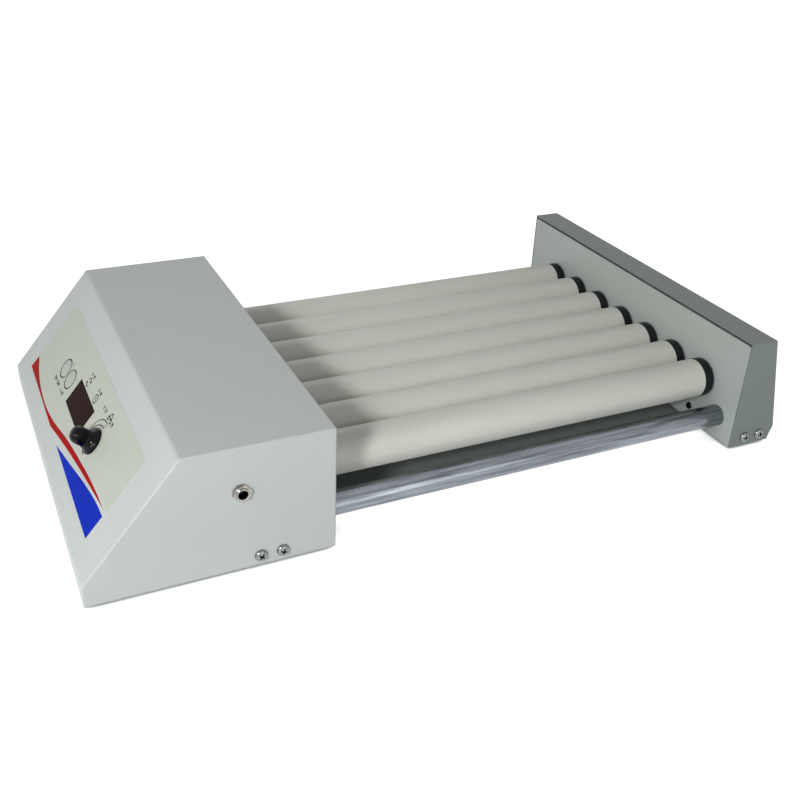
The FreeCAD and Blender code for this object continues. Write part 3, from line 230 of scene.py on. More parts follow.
# %% Dress a CAD piece
def dress(material, *nodes):
    """Give CAD nodes, which keep their shape, a finish."""
    for node in nodes:
        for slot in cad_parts[node].material_slots:
            slot.material = material
    print(f"{material.name}: {', '.join(nodes)}")


# %% [markdown]
# ## Sheet metal
# Both housings are folded steel sheet with a polyester powder coat. The powder melts into a skin
# with a slight orange peel, about a millimetre from bump to bump, so a reflection on it is soft
# and a little uneven, and colour hardly varies. The end housing wears the same coat, but its grey
# is written darker: painted shade for the light that falls off towards it. The coat flows round
# every edge. A bevel in the mesh would need the sheets modelled again, so a bevel node turns only
# the light there.

# %% Painted covers
cover_paint = finish(
    "powder_coated_sheet", "#C6CDCA", "#CED4D1", patch=60, grain=0.9, relief=0.02,
    rough=(0.5, 0.6), edge=1.2, shine=0.35,
)
# The end housing's darker grey is painted shade: the same coat, darkened where less light reaches.
end_paint_with_painted_shade = finish(
    "powder_coated_end_sheet_with_painted_shade", "#86908E", "#8D9694", patch=60, grain=0.9, relief=0.02,
    rough=(0.46, 0.56), edge=1.2, shine=0.3,
)
dress(cover_paint, "control_cover")
dress(end_paint_with_painted_shade, "end_cover")

# %% [markdown]
# The bearing plates lie between the two greys and are a little smoother. The trays below, which
# nobody sees in use, have a thinner and rougher coat.

# %% Painted plates and trays
plate_paint = finish(
    "powder_coated_plate", "#B5BDB8", "#BEC6C1", patch=50, grain=0.8, relief=0.015,
    rough=(0.4, 0.5), edge=0.5,
)
tray_paint = finish(
    "powder_coated_tray", "#AEB5B1", "#B8BFBB", patch=40, grain=1.1, relief=0.03,
    rough=(0.5, 0.62),
)
dress(plate_paint, "control_bearing_plate", "end_bearing_plate")
dress(tray_paint, "control_base", "end_base")

# %% [markdown]
# ## Sizes shared by the pieces
# The CAD model measures along the machine from the front lip of the control box. Its origin is in
# the middle of the length, so every such distance is shifted by half of it. Round numbers from the
# drawing are easier to follow than sizes measured on a mesh.

# %% Where things are, in millimetres
HALF_LENGTH = 253.75
HALF_WIDTH = 144.0
FOOT_LIFT = 2.5
CONTROL_LENGTH = 152.5
PLATE_FACE = CONTROL_LENGTH - HALF_LENGTH
SPAN = 315.0
AXIS_HEIGHT = 41.5
PITCH = 33.5
print("rollers turn at", AXIS_HEIGHT, "mm above the table, every", PITCH, "mm")

# %% [markdown]
# ## The rollers
# Each roller is a plastic tube between two black end plugs. Its journals are set off its middle by
# 1.5 mm, one way at one end and the other way at the other, so the tube leans across its axis and
# rocks as it turns. Turning it by eye would do; one matrix does it exactly, for the tube and both
# plugs.

# %% Lean of a roller
THROW = 1.5
PHASE = math.radians(-25)
RIM = 7.2
RIM_GAP = 1.2
TUBE_LENGTH = SPAN - 2 * (RIM + RIM_GAP)
LEAN = math.atan(2 * THROW / TUBE_LENGTH)


def across(index):
    """Distance of a roller from the middle of the machine."""
    return (index - 4) * PITCH


def leaning(index, along, part):
    """Place on a roller's own axis, where its offset is a part of the throw."""
    shift = Vector((
        PLATE_FACE + along,
        across(index) + part * THROW * math.cos(PHASE),
        AXIS_HEIGHT + part * THROW * math.sin(PHASE),
    ))
    hinge = Vector((0, math.sin(PHASE), -math.cos(PHASE)))
    return Matrix.Translation(shift) @ Matrix.Rotation(LEAN, 4, hinge)


print("each roller leans", round(math.degrees(LEAN), 2), "degrees")

# %% [markdown]
# The tube is extruded vinyl: off-white and satin, with faint patches, five times as long as wide,
# because it slid through the die that way. The plugs are moulded nylon, black and slightly waxy,
# so they mirror little.

# %% Roller finishes
sleeve_vinyl = finish(
    "extruded_vinyl_sleeve", "#D9DAD0", "#E5E6DD", patch=9, grain=0.7, relief=0.012,
    rough=(0.42, 0.56), stretch=(5, 1, 1),
)
plug_nylon = finish(
    "moulded_nylon", "#0B0E12", "#12151A", patch=6, grain=0.5, relief=0.012, rough=(0.36, 0.5),
    shine=0.2,
)

# %% [markdown]
# A tube is a ring-shaped outline, spun. Its outer ends get a small radius, as a knife leaves them.

# %% Tube of a roller
ROLLER_RADIUS = 14.5
BORE_RADIUS = 11.5


def sleeve(index):
    """Leaning tube of one roller."""
    wall = [
        (0, BORE_RADIUS), (0, ROLLER_RADIUS),
        (TUBE_LENGTH, ROLLER_RADIUS), (TUBE_LENGTH, BORE_RADIUS),
    ]
    return put(turned(wall, {1: 0.6, 2: 0.6}, 96), leaning(index, RIM_GAP + RIM, 1))


print("tube:", round(TUBE_LENGTH, 1), "mm long,", 2 * ROLLER_RADIUS, "mm across")

# %% [markdown]
# A plug has a rim as wide as the tube, a hollow spigot in its bore, and leans with it. Its journal
# lies on the axis of the bearings, so that is a second, straight shape. At the driven end it
# reaches far behind the plate, to the pulley. One outline, mirrored, serves both ends.

# %% Plug of a roller
SPIGOT = BORE_RADIUS - 0.03
SPIGOT_LENGTH = 12
PLUG_WALL = 2.5
PLUG = [
    (0, 0), (0, ROLLER_RADIUS), (RIM, ROLLER_RADIUS), (RIM, SPIGOT), (RIM + SPIGOT_LENGTH, SPIGOT),
    (RIM + SPIGOT_LENGTH, SPIGOT - PLUG_WALL), (RIM - PLUG_WALL, SPIGOT - PLUG_WALL),
    (RIM - PLUG_WALL, 0),
]
JOURNAL_RADIUS = 4
DRIVE_REACH, IDLE_REACH = 23, 9
LAST_PART = 1 + 2 * RIM / TUBE_LENGTH
ENDS = {
    "drive": (1, RIM_GAP, LAST_PART, -DRIVE_REACH, RIM_GAP + RIM / 2),
    "idle": (-1, SPAN - RIM_GAP, -LAST_PART, SPAN - RIM_GAP - RIM / 2, SPAN + IDLE_REACH),
}


def end_plug(index, end):
    """Leaning plug and straight journal of one end."""
    way, along, part, start, stop = ENDS[end]
    outline = [(way * out, radius) for out, radius in PLUG]
    moulding = turned(outline, {1: 0.8, 2: 0.3}, 96, ring=False)
    shaft = [(start, 0), (start, JOURNAL_RADIUS), (stop, JOURNAL_RADIUS), (stop, 0)]
    journal = turned(shaft, {1: 0.4, 2: 0.4}, 32, ring=False)
    straight = Matrix.Translation((PLATE_FACE, across(index), AXIS_HEIGHT))
    return joined([put(moulding, leaning(index, along, part)), put(journal, straight)])


print("journals:", 2 * JOURNAL_RADIUS, "mm, reaching", DRIVE_REACH, "and", IDLE_REACH, "mm")

# %% [markdown]
# All seven rollers are alike, but each rides on a body of its own, so each gets three pieces.

# %% Seven rollers
for index in range(1, 8):
    body = f"roller_{index}"
    name = f"roller_sleeve_{index}"
    keep_piece(sleeve(index), name, sleeve_vinyl, body, [f"roller_tube_{index}"])
    for end in ENDS:
        node, name = f"{end}_plug_{index}", f"{end}_end_plug_{index}"
        keep_piece(end_plug(index, end), name, plug_nylon, body, [node])

# %% [markdown]
# ## Tie tubes
# Two steel tubes hold the housings apart. They are drawn and zinc plated: grey, with light and
# dark streaks that run along the tube, partly dulled zinc and partly painted reflection, since the
# white world they mirror shows no contrast. Stretching the noise twenty times along x gives them,
# each about 2 mm wide and a few centimetres long. The dark shade is nearly black: a painted
# reflection of the shade under the rollers.

# %% Tie tubes
TIE_RADIUS = 8
TIE_HOLE_RADIUS = 3.1
TIE_SIDE = 124.5
TIE_HEIGHT = 20.5
# The near-black shade and the light streaks are partly painted reflection.
tie_steel_with_painted_reflection = finish(
    "drawn_zinc_steel_with_painted_reflection", "#0E1218", "#A8AEB6", patch=1.8, grain=0.5, relief=0.012,
    rough=(0.14, 0.32), stretch=(20, 1, 1), metal=1.0,
)
tie_wall = [(0, TIE_HOLE_RADIUS), (0, TIE_RADIUS), (SPAN, TIE_RADIUS), (SPAN, TIE_HOLE_RADIUS)]
for node, side in (("tie_tube_near", -1), ("tie_tube_far", 1)):
    place = Matrix.Translation((PLATE_FACE, side * TIE_SIDE, TIE_HEIGHT))
    tube = put(turned(tie_wall, {1: 0.3, 2: 0.3}, 64), place)
    keep_piece(tube, f"{node}_drawn", tie_steel_with_painted_reflection, "housing", [node])

# %% [markdown]
# ## Screws
# The covers are held by pan-head screws with a cross recess. A spun outline makes the blank, with
# its head seated at x = 0 and pointing to -x.

# %% Blank of a screw
def blank(diameter, head, height, reach):
    """Pan-head screw along x, without its recess."""
    half, shank, point = head / 2, diameter / 2, 0.6
    outline = [
        (-height, 0), (-height * 0.97, half * 0.42), (-height * 0.8, half * 0.76),
        (-height * 0.42, half), (0, half), (0, shank), (reach - point, shank),
        (reach, shank - point), (reach, 0),
    ]
    return turned(outline, {3: height * 0.25, 4: 0.15}, 48, ring=False)


# %% [markdown]
# A boolean could cut the recess, but leaves slivers in a cross that small. Instead, planes cut the
# front of the head into a grid, and the faces inside the cross are extruded, sunk and narrowed, as
# a punch does it. The faces left over them are deleted.

# %% Cross recess
def cross_head(diameter, head, height, reach):
    """Screw with a cross recess; the arms and slits are shares of the head's width."""
    bm = blank(diameter, head, height, reach)
    arm, slit, front = head * 0.26, head * 0.07, -height * 0.5
    for normal in ((0, 1, 0), (0, 0, 1)):
        for distance in (-arm, -slit, slit, arm):
            faces = [f for f in bm.faces if f.calc_center_median().x < front]
            edges = dict.fromkeys(e for f in faces for e in f.edges)
            verts = dict.fromkeys(v for f in faces for v in f.verts)
            bmesh.ops.bisect_plane(
                bm, geom=[*faces, *edges, *verts], dist=0.0001,
                plane_co=Vector(normal) * distance, plane_no=normal,
            )

    def in_cross(face):
        middle = face.calc_center_median()
        small, large = sorted((abs(middle.y), abs(middle.z)))
        return middle.x < front and small < slit and large < arm

    punched = bmesh.ops.extrude_face_region(bm, geom=[f for f in bm.faces if in_cross(f)])
    sunk = [item for item in punched["geom"] if isinstance(item, bmesh.types.BMVert)]
    lid = [f for f in bm.faces if in_cross(f) and not set(f.verts) <= set(sunk)]
    bmesh.ops.delete(bm, geom=lid, context="FACES")
    for vert in sunk:
        vert.co.x = -height + height * 0.62
    bmesh.ops.scale(bm, vec=(1, 0.5, 0.5), verts=sunk)
    return bm


# %% [markdown]
# Screws of one kind are one piece, so they are made at all their places and joined. Linked copies
# would be lighter, but a piece has to be one mesh.

# %% One shape at several places
def copies(make, places):
    """The same small piece at several places, in one mesh."""
    return joined([put(make(), place) for place in places])


def facing(direction, x, y, z, spin=0):
    """Place for a piece that is modelled along x: direction is where its -x end points."""
    turn = Vector((-1, 0, 0)).rotation_difference(Vector(direction)).to_matrix().to_4x4()
    return Matrix.Translation((x, y, z)) @ turn @ Matrix.Rotation(math.radians(spin), 4, "X")


# %% [markdown]
# The cover screws are cold-headed and bright zinc plated: smooth, with a sharp sheen. Such a metal
# mirrors what is around it, here a white world, so its colour is written as a mid grey: a painted
# reflection of a darker room. Each recess is turned another way, since nobody lines up screws.

# %% Cover screws
SIDES = (-1, 1)
COVER_SCREW_HEIGHT = 9.5
COVER_SCREW_ALONG = (104.5, 118.3, 479.9, 493.7)
# The mid grey stands for a darker room mirrored in the zinc: painted reflection.
screw_zinc_with_painted_reflection = finish(
    "bright_zinc_plate_with_painted_reflection", "#727574", "#8A8D8B", patch=2.5, grain=0.3, relief=0.003,
    rough=(0.14, 0.24), metal=1.0,
)
cover_places = []
for number, along in enumerate(COVER_SCREW_ALONG):
    for side in SIDES:
        spot = (along - HALF_LENGTH, side * HALF_WIDTH, COVER_SCREW_HEIGHT)
        cover_places.append(facing((0, side, 0), *spot, spin=37 + 71 * number))
heads = copies(lambda: cross_head(4, 8, 2.6, 7), cover_places)
keep_piece(heads, "cover_cross_screws", screw_zinc_with_painted_reflection, "housing", ["cover_screws"])

# %% [markdown]
# ## The sloping panel
# Window, keys, knob, print and board all sit on the slope. Two directions are worked out once, up
# the slope and out of it, and each piece is placed by its distance from the lip and the middle.

# %% Directions of the panel
PANEL_RISE = 71.5
PANEL_RUN = 60.0
LIP_HEIGHT = 14
PANEL_LENGTH = math.hypot(PANEL_RUN, PANEL_RISE)
UP = Vector((PANEL_RUN, 0, PANEL_RISE)) / PANEL_LENGTH
OUT = Vector((-PANEL_RISE, 0, PANEL_RUN)) / PANEL_LENGTH
LIP_TOP = Vector((-HALF_LENGTH, 0, FOOT_LIFT + LIP_HEIGHT))


def panel_spot(up, side, out=0.0):
    """A point on the sloping panel, measured up from the lip and across from the middle."""
    return LIP_TOP + UP * up + Vector((0, side, 0)) + OUT * out


print("the panel is", round(PANEL_LENGTH, 1), "mm long, up the slope")

# %% [markdown]
# The small screws are the same at a smaller size: four hold the bearing plates, two the motor, two
# its bracket and four the board. Only those of the plates are ever seen. They are black oxide on
# steel: dark, with a dull metal sheen.

# %% Small screws
PLATE_SCREW_SIDE, PLATE_SCREW_HEIGHT = 95.2, 12.8
MOTOR_ALONG, MOTOR_SIDE, MOTOR_HEIGHT = 128 - HALF_LENGTH, 83.75, 21.5
BRACKET_ALONG, BRACKET_HEIGHT = 137 - HALF_LENGTH, 6
BOARD_UP, BOARD_SIDE, BOARD_DEPTH = 43, 6, 11.8
small_places = [
    facing((way, 0, 0), along, side * PLATE_SCREW_SIDE, PLATE_SCREW_HEIGHT, spin)
    for way, along, spin in ((1, PLATE_FACE, 20), (-1, PLATE_FACE + SPAN, 65)) for side in SIDES
]
small_places += [
    facing((1, 0, 0), MOTOR_ALONG, MOTOR_SIDE + side * 12.5, MOTOR_HEIGHT) for side in SIDES
]
small_places += [
    facing((0, 0, 1), BRACKET_ALONG, MOTOR_SIDE + side * 15, BRACKET_HEIGHT) for side in SIDES
]
small_places += [
    facing(-OUT, *panel_spot(BOARD_UP + up * 21, BOARD_SIDE + side * 78, -BOARD_DEPTH))
    for up in SIDES for side in SIDES
]
screw_black = finish(
    "black_oxide_steel", "#17181A", "#232527", patch=2, grain=0.3, relief=0.003,
    rough=(0.26, 0.4), metal=1.0,
)
heads = copies(lambda: cross_head(3, 5.6, 1.9, 5), small_places)
keep_piece(heads, "small_cross_screws", screw_black, "housing", ["small_screws"])

# %% [markdown]
# ## Power socket
# A barrel socket looks out of the near side: a threaded bush with a black insulating sleeve and a
# contact pin in it, held by a washer and a hexagon nut. Bush, washer and nut are nickel plated,
# which is warmer and duller than chrome; their colour is written darker still, a painted
# reflection of a darker room than the white world. The insulator is a moulded polyester, black and
# nearly without shine, so that the hole stays dark.

# %% Socket finishes
# Written darker than nickel: a painted reflection of a darker room.
nut_nickel_with_painted_reflection = finish(
    "nickel_plate", "#8F8E89", "#A9A7A1", patch=2, grain=0.25, relief=0.002, rough=(0.12, 0.24),
    metal=1.0,
)
socket_black = finish(
    "moulded_polyester_socket", "#050505", "#0A0A0B", patch=4, grain=0.4, relief=0.006,
    rough=(0.25, 0.38), shine=0.1,
)

# %% [markdown]
# The thread is a small triangle swept along a helix. A screw modifier would do it; a spin does
# too, when each step also moves forward. Its ends are then closed.

# %% Threaded bush
SOCKET = facing((0, -1, 0), 94.1 - HALF_LENGTH, -HALF_WIDTH, 57.9)
THREAD_TURNS, THREAD_PITCH, THREAD_STEPS = 5.2, 0.75, 48


def threaded_barrel():
    """Bush with an outside thread, its mouth at the -x end."""
    tube = [(-3.6, 3.1), (-3.6, 3.75), (1.2, 3.75), (1.2, 3.1)]
    barrel = turned(tube, {0: 0.15, 1: 0.25}, 64)
    thread = bmesh.new()
    profile = ((-3.4, 0, 3.7), (-3.12, 0, 4.0), (-2.84, 0, 3.7))
    tooth = [thread.verts.new(point) for point in profile]
    for pair in zip(tooth, tooth[1:] + tooth[:1]):
        thread.edges.new(pair)
    bmesh.ops.spin(
        thread, geom=tooth + thread.edges[:], cent=(0, 0, 0), axis=(1, 0, 0),
        dvec=(THREAD_PITCH / THREAD_STEPS, 0, 0), angle=2 * math.pi * THREAD_TURNS,
        steps=int(THREAD_STEPS * THREAD_TURNS), use_merge=False,
    )
    ends = [e for e in thread.edges if e.is_boundary]
    bmesh.ops.holes_fill(thread, edges=ends, sides=3)
    return put(joined([barrel, thread]), SOCKET)


barrel = threaded_barrel()
keep_piece(barrel, "socket_threaded_bush", nut_nickel_with_painted_reflection, "housing", ["dc_socket"])

# %% [markdown]
# The insulator leaves a ring-shaped gap for the plug's barrel, with the pin in the middle. One
# outline draws all three.

# %% Socket's insulator and pin
insert = [
    (13.2, 0), (13.2, 5.5), (1.2, 5.5), (1.2, 3.1), (-3.45, 3.1), (-3.45, 2.8), (3.5, 2.8),
    (3.5, 1.05), (-1.2, 1.05), (-1.2, 0),
]
insulator = put(turned(insert, {1: 0.5, 4: 0.12, 8: 0.4}, 48, ring=False), SOCKET)
keep_piece(insulator, "socket_insert", socket_black, "housing")

# %% [markdown]
# The nut could start as a six-sided cylinder. Made as in a workshop, it is a turned ring, milled
# flat by a plane on six sides, so its chamfer runs out in the right curves.

# %% Socket's washer and nut
ACROSS_FLATS = 10
NUT_TURN = 0.3
washer = turned([(-0.6, 4.1), (-0.6, 5.7), (0, 5.7), (0, 4.1)], {0: 0.12, 1: 0.15}, 64)
nut_ring = [(-2.6, 4.05), (-2.6, 5.3), (-2.3, 5.8), (-0.6, 5.8), (-0.6, 4.05)]
nut = turned(nut_ring, {0: 0.2}, 72)
for side in range(6):
    angle = math.radians(60 * side)
    outward = Vector((0, math.cos(angle), math.sin(angle)))
    milled = bmesh.ops.bisect_plane(
        nut, geom=nut.verts[:] + nut.edges[:] + nut.faces[:], dist=0.0001,
        plane_co=outward * (ACROSS_FLATS / 2), plane_no=outward, clear_outer=True,
    )
    flat = [item for item in milled["geom_cut"] if isinstance(item, bmesh.types.BMEdge)]
    bmesh.ops.holes_fill(nut, edges=flat, sides=0)
nut = put(joined([washer, nut]), SOCKET @ Matrix.Rotation(NUT_TURN, 4, "X"))
keep_piece(nut, "socket_nut_and_washer", nut_nickel_with_painted_reflection, "housing", ["dc_socket_nut"])

# %% [markdown]
# ## Speed knob
# The knob is one gloss black moulding: a skirt with an upright edge, a hollow waist for the
# fingers and a straight head with a domed crown. Polished moulds leave it smooth as glass, so its
# reflection is sharp.

# %% Knob finishes
knob_gloss = finish(
    "gloss_black_moulding", "#030508", "#05080D", patch=5, grain=0.8, relief=0.002,
    rough=(0.04, 0.07), shine=0.14,
)
pointer_paint = finish(
    "white_pointer_paint", "#D5D7D2", "#E0E2DD", patch=2, grain=0.2, relief=0.004,
    rough=(0.4, 0.5),
)

# %% [markdown]
# Waist and crown could be drawn point by point, but are just two corners of the spun outline with
# a large rounding. The knob is turned by the panel's own directions.

# %% Knob
KNOB_UP, KNOB_SIDE = 43.5, 46.4
FRAME_OF_PANEL = Matrix((
    (UP.x, 0, OUT.x, 0), (UP.y, 1, OUT.y, 0), (UP.z, 0, OUT.z, 0), (0, 0, 0, 1),
))
UPRIGHT = Matrix.Rotation(math.radians(-90), 4, "Y")
KNOB = Matrix.Translation(panel_spot(KNOB_UP, -KNOB_SIDE, 0.8)) @ FRAME_OF_PANEL @ UPRIGHT
profile = [
    (12, 0), (12, 3.03), (1.6, 3.03), (1.6, 7), (0, 7), (0, 9), (1.6, 9), (4.2, 5.8),
    (15.2, 5.8), (15.2, 0),
]
rounds = {8: 4.4, 7: 2.6, 6: 0.5, 5: 0.15, 4: 0.15}
knob = put(turned(profile, rounds, 96, ring=False), KNOB)
keep_piece(knob, "speed_knob_moulding", knob_gloss, "speed_control", ["speed_knob"])

# %% [markdown]
# A white line in the skirt shows where the knob points. Drawn in the material it would blur. A
# thin bar with eased edges stays sharp.

# %% Pointer
bar = bmesh.new()
bmesh.ops.create_cube(bar, size=1)
bmesh.ops.scale(bar, vec=(0.5, 0.9, 1.7), verts=bar.verts)
bmesh.ops.translate(bar, vec=(1.42, 0, 8.05), verts=bar.verts)
eased(bar, bar.edges[:], 0.08, segments=2)
keep_piece(put(bar, KNOB), "knob_pointer", pointer_paint, "speed_control")

# %% [markdown]
# ## Film, window and keys
# The slope carries a printed polycarbonate film. Its surface has a velvet texture, which spreads
# reflections and hides finger marks, so its shine is set low. The real texture is about 0.1 mm; it
# is drawn at 0.45 mm, since anything finer wouldn't show. The keys are raised ovals of the same
# film. The window is a tinted acrylic pane over the read-out, nearly black until the digits light
# up. It is flat, so it keeps its CAD shape.

# %% Film, keys and window
film_grey = finish(
    "velvet_polycarbonate_film", "#C6CCC9", "#CBD0CD", patch=30, grain=0.45, relief=0.008,
    rough=(0.4, 0.5), shine=0.2,
)
key_beige = finish(
    "velvet_key_film", "#BAC0B5", "#C0C5BB", patch=8, grain=0.45, relief=0.008,
    rough=(0.4, 0.5), shine=0.2,
)
window_tint = finish(
    "tinted_acrylic", "#26110C", "#2A140E", patch=12, grain=0.6, relief=0.001,
    rough=(0.16, 0.2), shine=0.01,
)
dress(window_tint, "display_window")

# %% [markdown]
# A key is an oval cap over a wider flange, which holds it under the film. A scaled cylinder would
# do; a flat disc, pulled up into a plate, needs a helper that the printing uses too.

# %% Plates from flat shapes
def raised(bm, height):
    """Pull every face of a flat mesh up into a plate, and return the corners of its top."""
    grown = bmesh.ops.extrude_face_region(bm, geom=bm.faces[:])
    top = [item for item in grown["geom"] if isinstance(item, bmesh.types.BMVert)]
    bmesh.ops.translate(bm, vec=(0, 0, height), verts=top)
    return top


def oval_plate(half_up, half_across, height):
    """Oval plate, and the corners of its top."""
    plate = bmesh.new()
    bmesh.ops.create_circle(plate, cap_ends=True, segments=64, radius=1)
    bmesh.ops.scale(plate, vec=(half_up, half_across, 1), verts=plate.verts)
    return plate, raised(plate, height)


# %% [markdown]
# The rim of the cap is rounded, as embossed film bends. Each key rides on a body of its own.

# %% Keys
KEY_UP = 43.7
KEY_SIDES = (58.9, 41.4)
for index, side, body in zip((1, 2), KEY_SIDES, ("first_key", "second_key")):
    cap, top = oval_plate(6.2, 7.2, 1.5)
    rim = [e for e in cap.edges if all(v in top for v in e.verts)]
    eased(cap, rim, 0.22, segments=3)
    flange, _ = oval_plate(7.4, 8.4, -1)
    place = Matrix.Translation(panel_spot(KEY_UP, side, -1.2)) @ FRAME_OF_PANEL
    key = put(joined([cap, flange]), place)
    keep_piece(key, f"oval_key_{index}", key_beige, body, [f"key_{index}"])

# %% [markdown]
# ## Printing
# The inks are screen printed on the film: a beige field, a red sweep along its foot, a blue wedge
# below the sweep's tail, and thin dark lines. A picture on the film would do, but shapes stay
# crisp from near. All is drawn flat, as a reader sees it, with x to the right and y up the slope,
# and then laid on the film.

# %% Lay a drawing on the film
FILM = 0.3
FIELD_INK, LINE_INK = 0.02, 0.03
READER = Matrix((
    (0, UP.x, OUT.x, LIP_TOP.x), (-1, 0, 0, 0), (0, UP.z, OUT.z, LIP_TOP.z), (0, 0, 0, 1),
)) @ Matrix.Translation((0, 0, FILM))


def laid(bm, name, ink):
    """Lay a flat mesh, drawn in millimetres, on the film and give it to the housing."""
    keep_piece(put(bm, READER), name, ink, "housing")


# %% [markdown]
# Curve and font tools fill an outline and keep its holes open. Each drawing becomes a mesh at
# once, so that ink gets a thickness like any plate.

# %% Flat mesh of a curve or a text
def as_mesh(data):
    """Mesh of a curve or a text, in millimetres."""
    holder = new_object("drawing", data)
    bpy.context.view_layer.update()
    flat = bpy.data.meshes.new_from_object(holder)
    bm = bmesh.new()
    bm.from_mesh(flat)
    bpy.data.objects.remove(holder)
    bpy.data.meshes.remove(flat)
    bmesh.ops.remove_doubles(bm, verts=bm.verts, dist=MERGE)
    return bm


# %% [markdown]
# An area is a closed curve, filled and raised by the ink's thickness. A line could be two
# outlines; a curve with a round bevel, pressed flat on the field, is easier. Points are smooth
# unless marked as corners.

# %% Areas and lines of ink
def drawn(outlines, width=None):
    """Mesh of outlines, filled or as lines; a point is (right, up) or (right, up, "corner")."""
    curve = bpy.data.curves.new("outline", "CURVE")
    curve.dimensions = "2D" if width is None else "3D"
    curve.fill_mode = "BOTH" if width is None else "FULL"
    curve.resolution_u = 10
    if width:
        curve.bevel_depth = width / 2
        curve.bevel_resolution = 1
        curve.use_fill_caps = True
    for points, closed in outlines:
        spline = curve.splines.new("BEZIER")
        spline.bezier_points.add(len(points) - 1)
        spline.use_cyclic_u = closed
        for point, (right, up, *corner) in zip(spline.bezier_points, points):
            point.handle_left_type = point.handle_right_type = "VECTOR" if corner else "AUTO"
            point.co = (right, up, 0)
    bm = as_mesh(curve)
    bpy.data.curves.remove(curve)
    if width:
        bmesh.ops.scale(bm, vec=(1, 1, LINE_INK / width), verts=bm.verts)
        bmesh.ops.translate(bm, vec=(0, 0, LINE_INK), verts=bm.verts)
    else:
        raised(bm, FIELD_INK)
    return bm


# %% [markdown]
# Three shapes come again and again: an oval, a run of sharp corners, and a rectangle with round
# corners. The middle of a round corner lies 0.29 of its radius from both sides.

# %% Shapes on the panel
ON_ARC = 0.29


def oval(right, up, wide, high):
    """Four points of an ellipse."""
    left, low = right - wide / 2, up - high / 2
    return [(left, up), (right, up + high / 2), (right + wide / 2, up), (right, low)]


def sharp(*points):
    """Points that are corners."""
    return [(right, up, "corner") for right, up in points]


def rounded(left, low, right, high, size):
    """Rectangle with rounded corners."""
    points = []
    for x, y, u, v in (
        (left, low, 1, 1), (right, low, -1, 1), (right, high, -1, -1), (left, high, 1, -1),
    ):
        middle = (x + u * size * ON_ARC, y + v * size * ON_ARC)
        ends = [(x + u * size, y, "corner"), middle, (x, y + v * size, "corner")]
        points += ends[::-1] if u == v else ends
    return points


# %% [markdown]
# The film is drawn in the same way, with holes for window, keys and knob. Its top is inset by
# twice its thickness and lifted, so that the cut edge slopes down to the sheet. An upright edge
# would draw a dark line round the panel.

# %% Film
key_holes = [oval(-side, KEY_UP, 14.8, 12.8) for side in KEY_SIDES]
outlines = [
    rounded(-117, 13.8, 117, 74, 6), rounded(-25.7, 33.8, 20.7, 52.2, 1.5), *key_holes,
    oval(KNOB_SIDE, KNOB_UP, 8.4, 8.4),
]
film = drawn([(points, True) for points in outlines])
face = [f for f in film.faces if f.calc_center_median().z > FIELD_INK * 0.9]
bmesh.ops.inset_region(
    film, faces=face, thickness=2 * FILM, use_even_offset=True, use_boundary=True,
)
top = list({v for f in face for v in f.verts})
bmesh.ops.translate(film, vec=(0, 0, FILM - FIELD_INK), verts=top)
bmesh.ops.translate(film, vec=(0, 0, -FILM), verts=film.verts)
film = put(film, READER)
keep_piece(film, "velvet_panel_film", film_grey, "housing", ["panel_overlay"])

# %% [markdown]
# Screen inks dry matt and take on the film's velvet, so they share one recipe. The thin beige
# keeps a little of the film's shine; red, blue and black have next to none.

# %% Inks
def ink(name, dark, light, shine=0.02):
    """A screen ink, with the film's velvet."""
    return finish(
        name, dark, light, patch=14, grain=0.45, relief=0.006, rough=(0.4, 0.5), shine=shine,
    )


field_ink = ink("beige_screen_ink", "#C4C9BC", "#CACFC2", shine=0.15)
red_ink = ink("red_screen_ink", "#A60D09", "#AE120D")
blue_ink = ink("blue_screen_ink", "#0A2CB6", "#0F31C0")
line_ink = ink("dark_line_ink", "#10120F", "#181A16")
black_ink = ink("black_screen_ink", "#050505", "#0B0A0A")

# %% [markdown]
# The beige field covers the panel down to a curved foot. A few points carry the curve; more would
# make it wavy. Holes leave window, keys and knob free.

# %% Beige field
field = [
    *sharp((-115.9, 26.2)), (-95, 20.3), (-60.6, 16.8), (-31.5, 18.3), (15.9, 26), (51, 30.5),
    (85.4, 33.8), *sharp((115.6, 34.8), (115.6, 68.3)), (114.1, 71.8),
    *sharp((110.6, 73.3), (-110.9, 73.3)), (-114.4, 71.8), *sharp((-115.9, 68.3)),
]
holes = [
    sharp((-25.4, 34), (21.2, 34), (21.2, 52.5), (-25.4, 52.5)),
    *[oval(-side, KEY_UP, 15.2, 13.2) for side in KEY_SIDES], oval(KNOB_SIDE, KNOB_UP, 9, 9),
]
laid(drawn([(outline, True) for outline in [field, *holes]]), "printed_beige_field", field_ink)

# %% [markdown]
# The sweep follows the field's foot across a thin grey gap and runs out at the right. The wedge
# fills the corner below its tail.

# %% Red sweep and blue wedge
sweep = [
    *sharp((-115.4, 24.3)), (-95, 18.8), (-60.6, 15.6), (-31.5, 16.9), (15.9, 24.7), (51, 29.2),
    (85.4, 32.4), *sharp((110.7, 33.4)), (87.4, 30.6), (51.4, 26), (10.1, 19.7),
    *sharp((-22, 14), (-116.6, 14)),
]
laid(drawn([(sweep, True)]), "printed_red_sweep", red_ink)
wedge = [
    *sharp((4.4, 14)), (37.2, 20), (73.8, 26.7), (97.7, 30), *sharp((114.2, 31), (113.8, 14)),
]
laid(drawn([(wedge, True)]), "printed_blue_wedge", blue_ink)

# %% [markdown]
# A thin dark ring is drawn round each key, and a broader black border round the window hides its
# cut edge.

# %% Rings and window border
rings = [(oval(-side, KEY_UP, 16, 14), True) for side in KEY_SIDES]
laid(drawn(rings, 0.8), "dark_key_rings", line_ink)
border = sharp((-25.3, 34), (21.2, 34), (21.2, 52.5), (-25.3, 52.5))
laid(drawn([(border, True)], 1.4), "printed_window_border", black_ink)

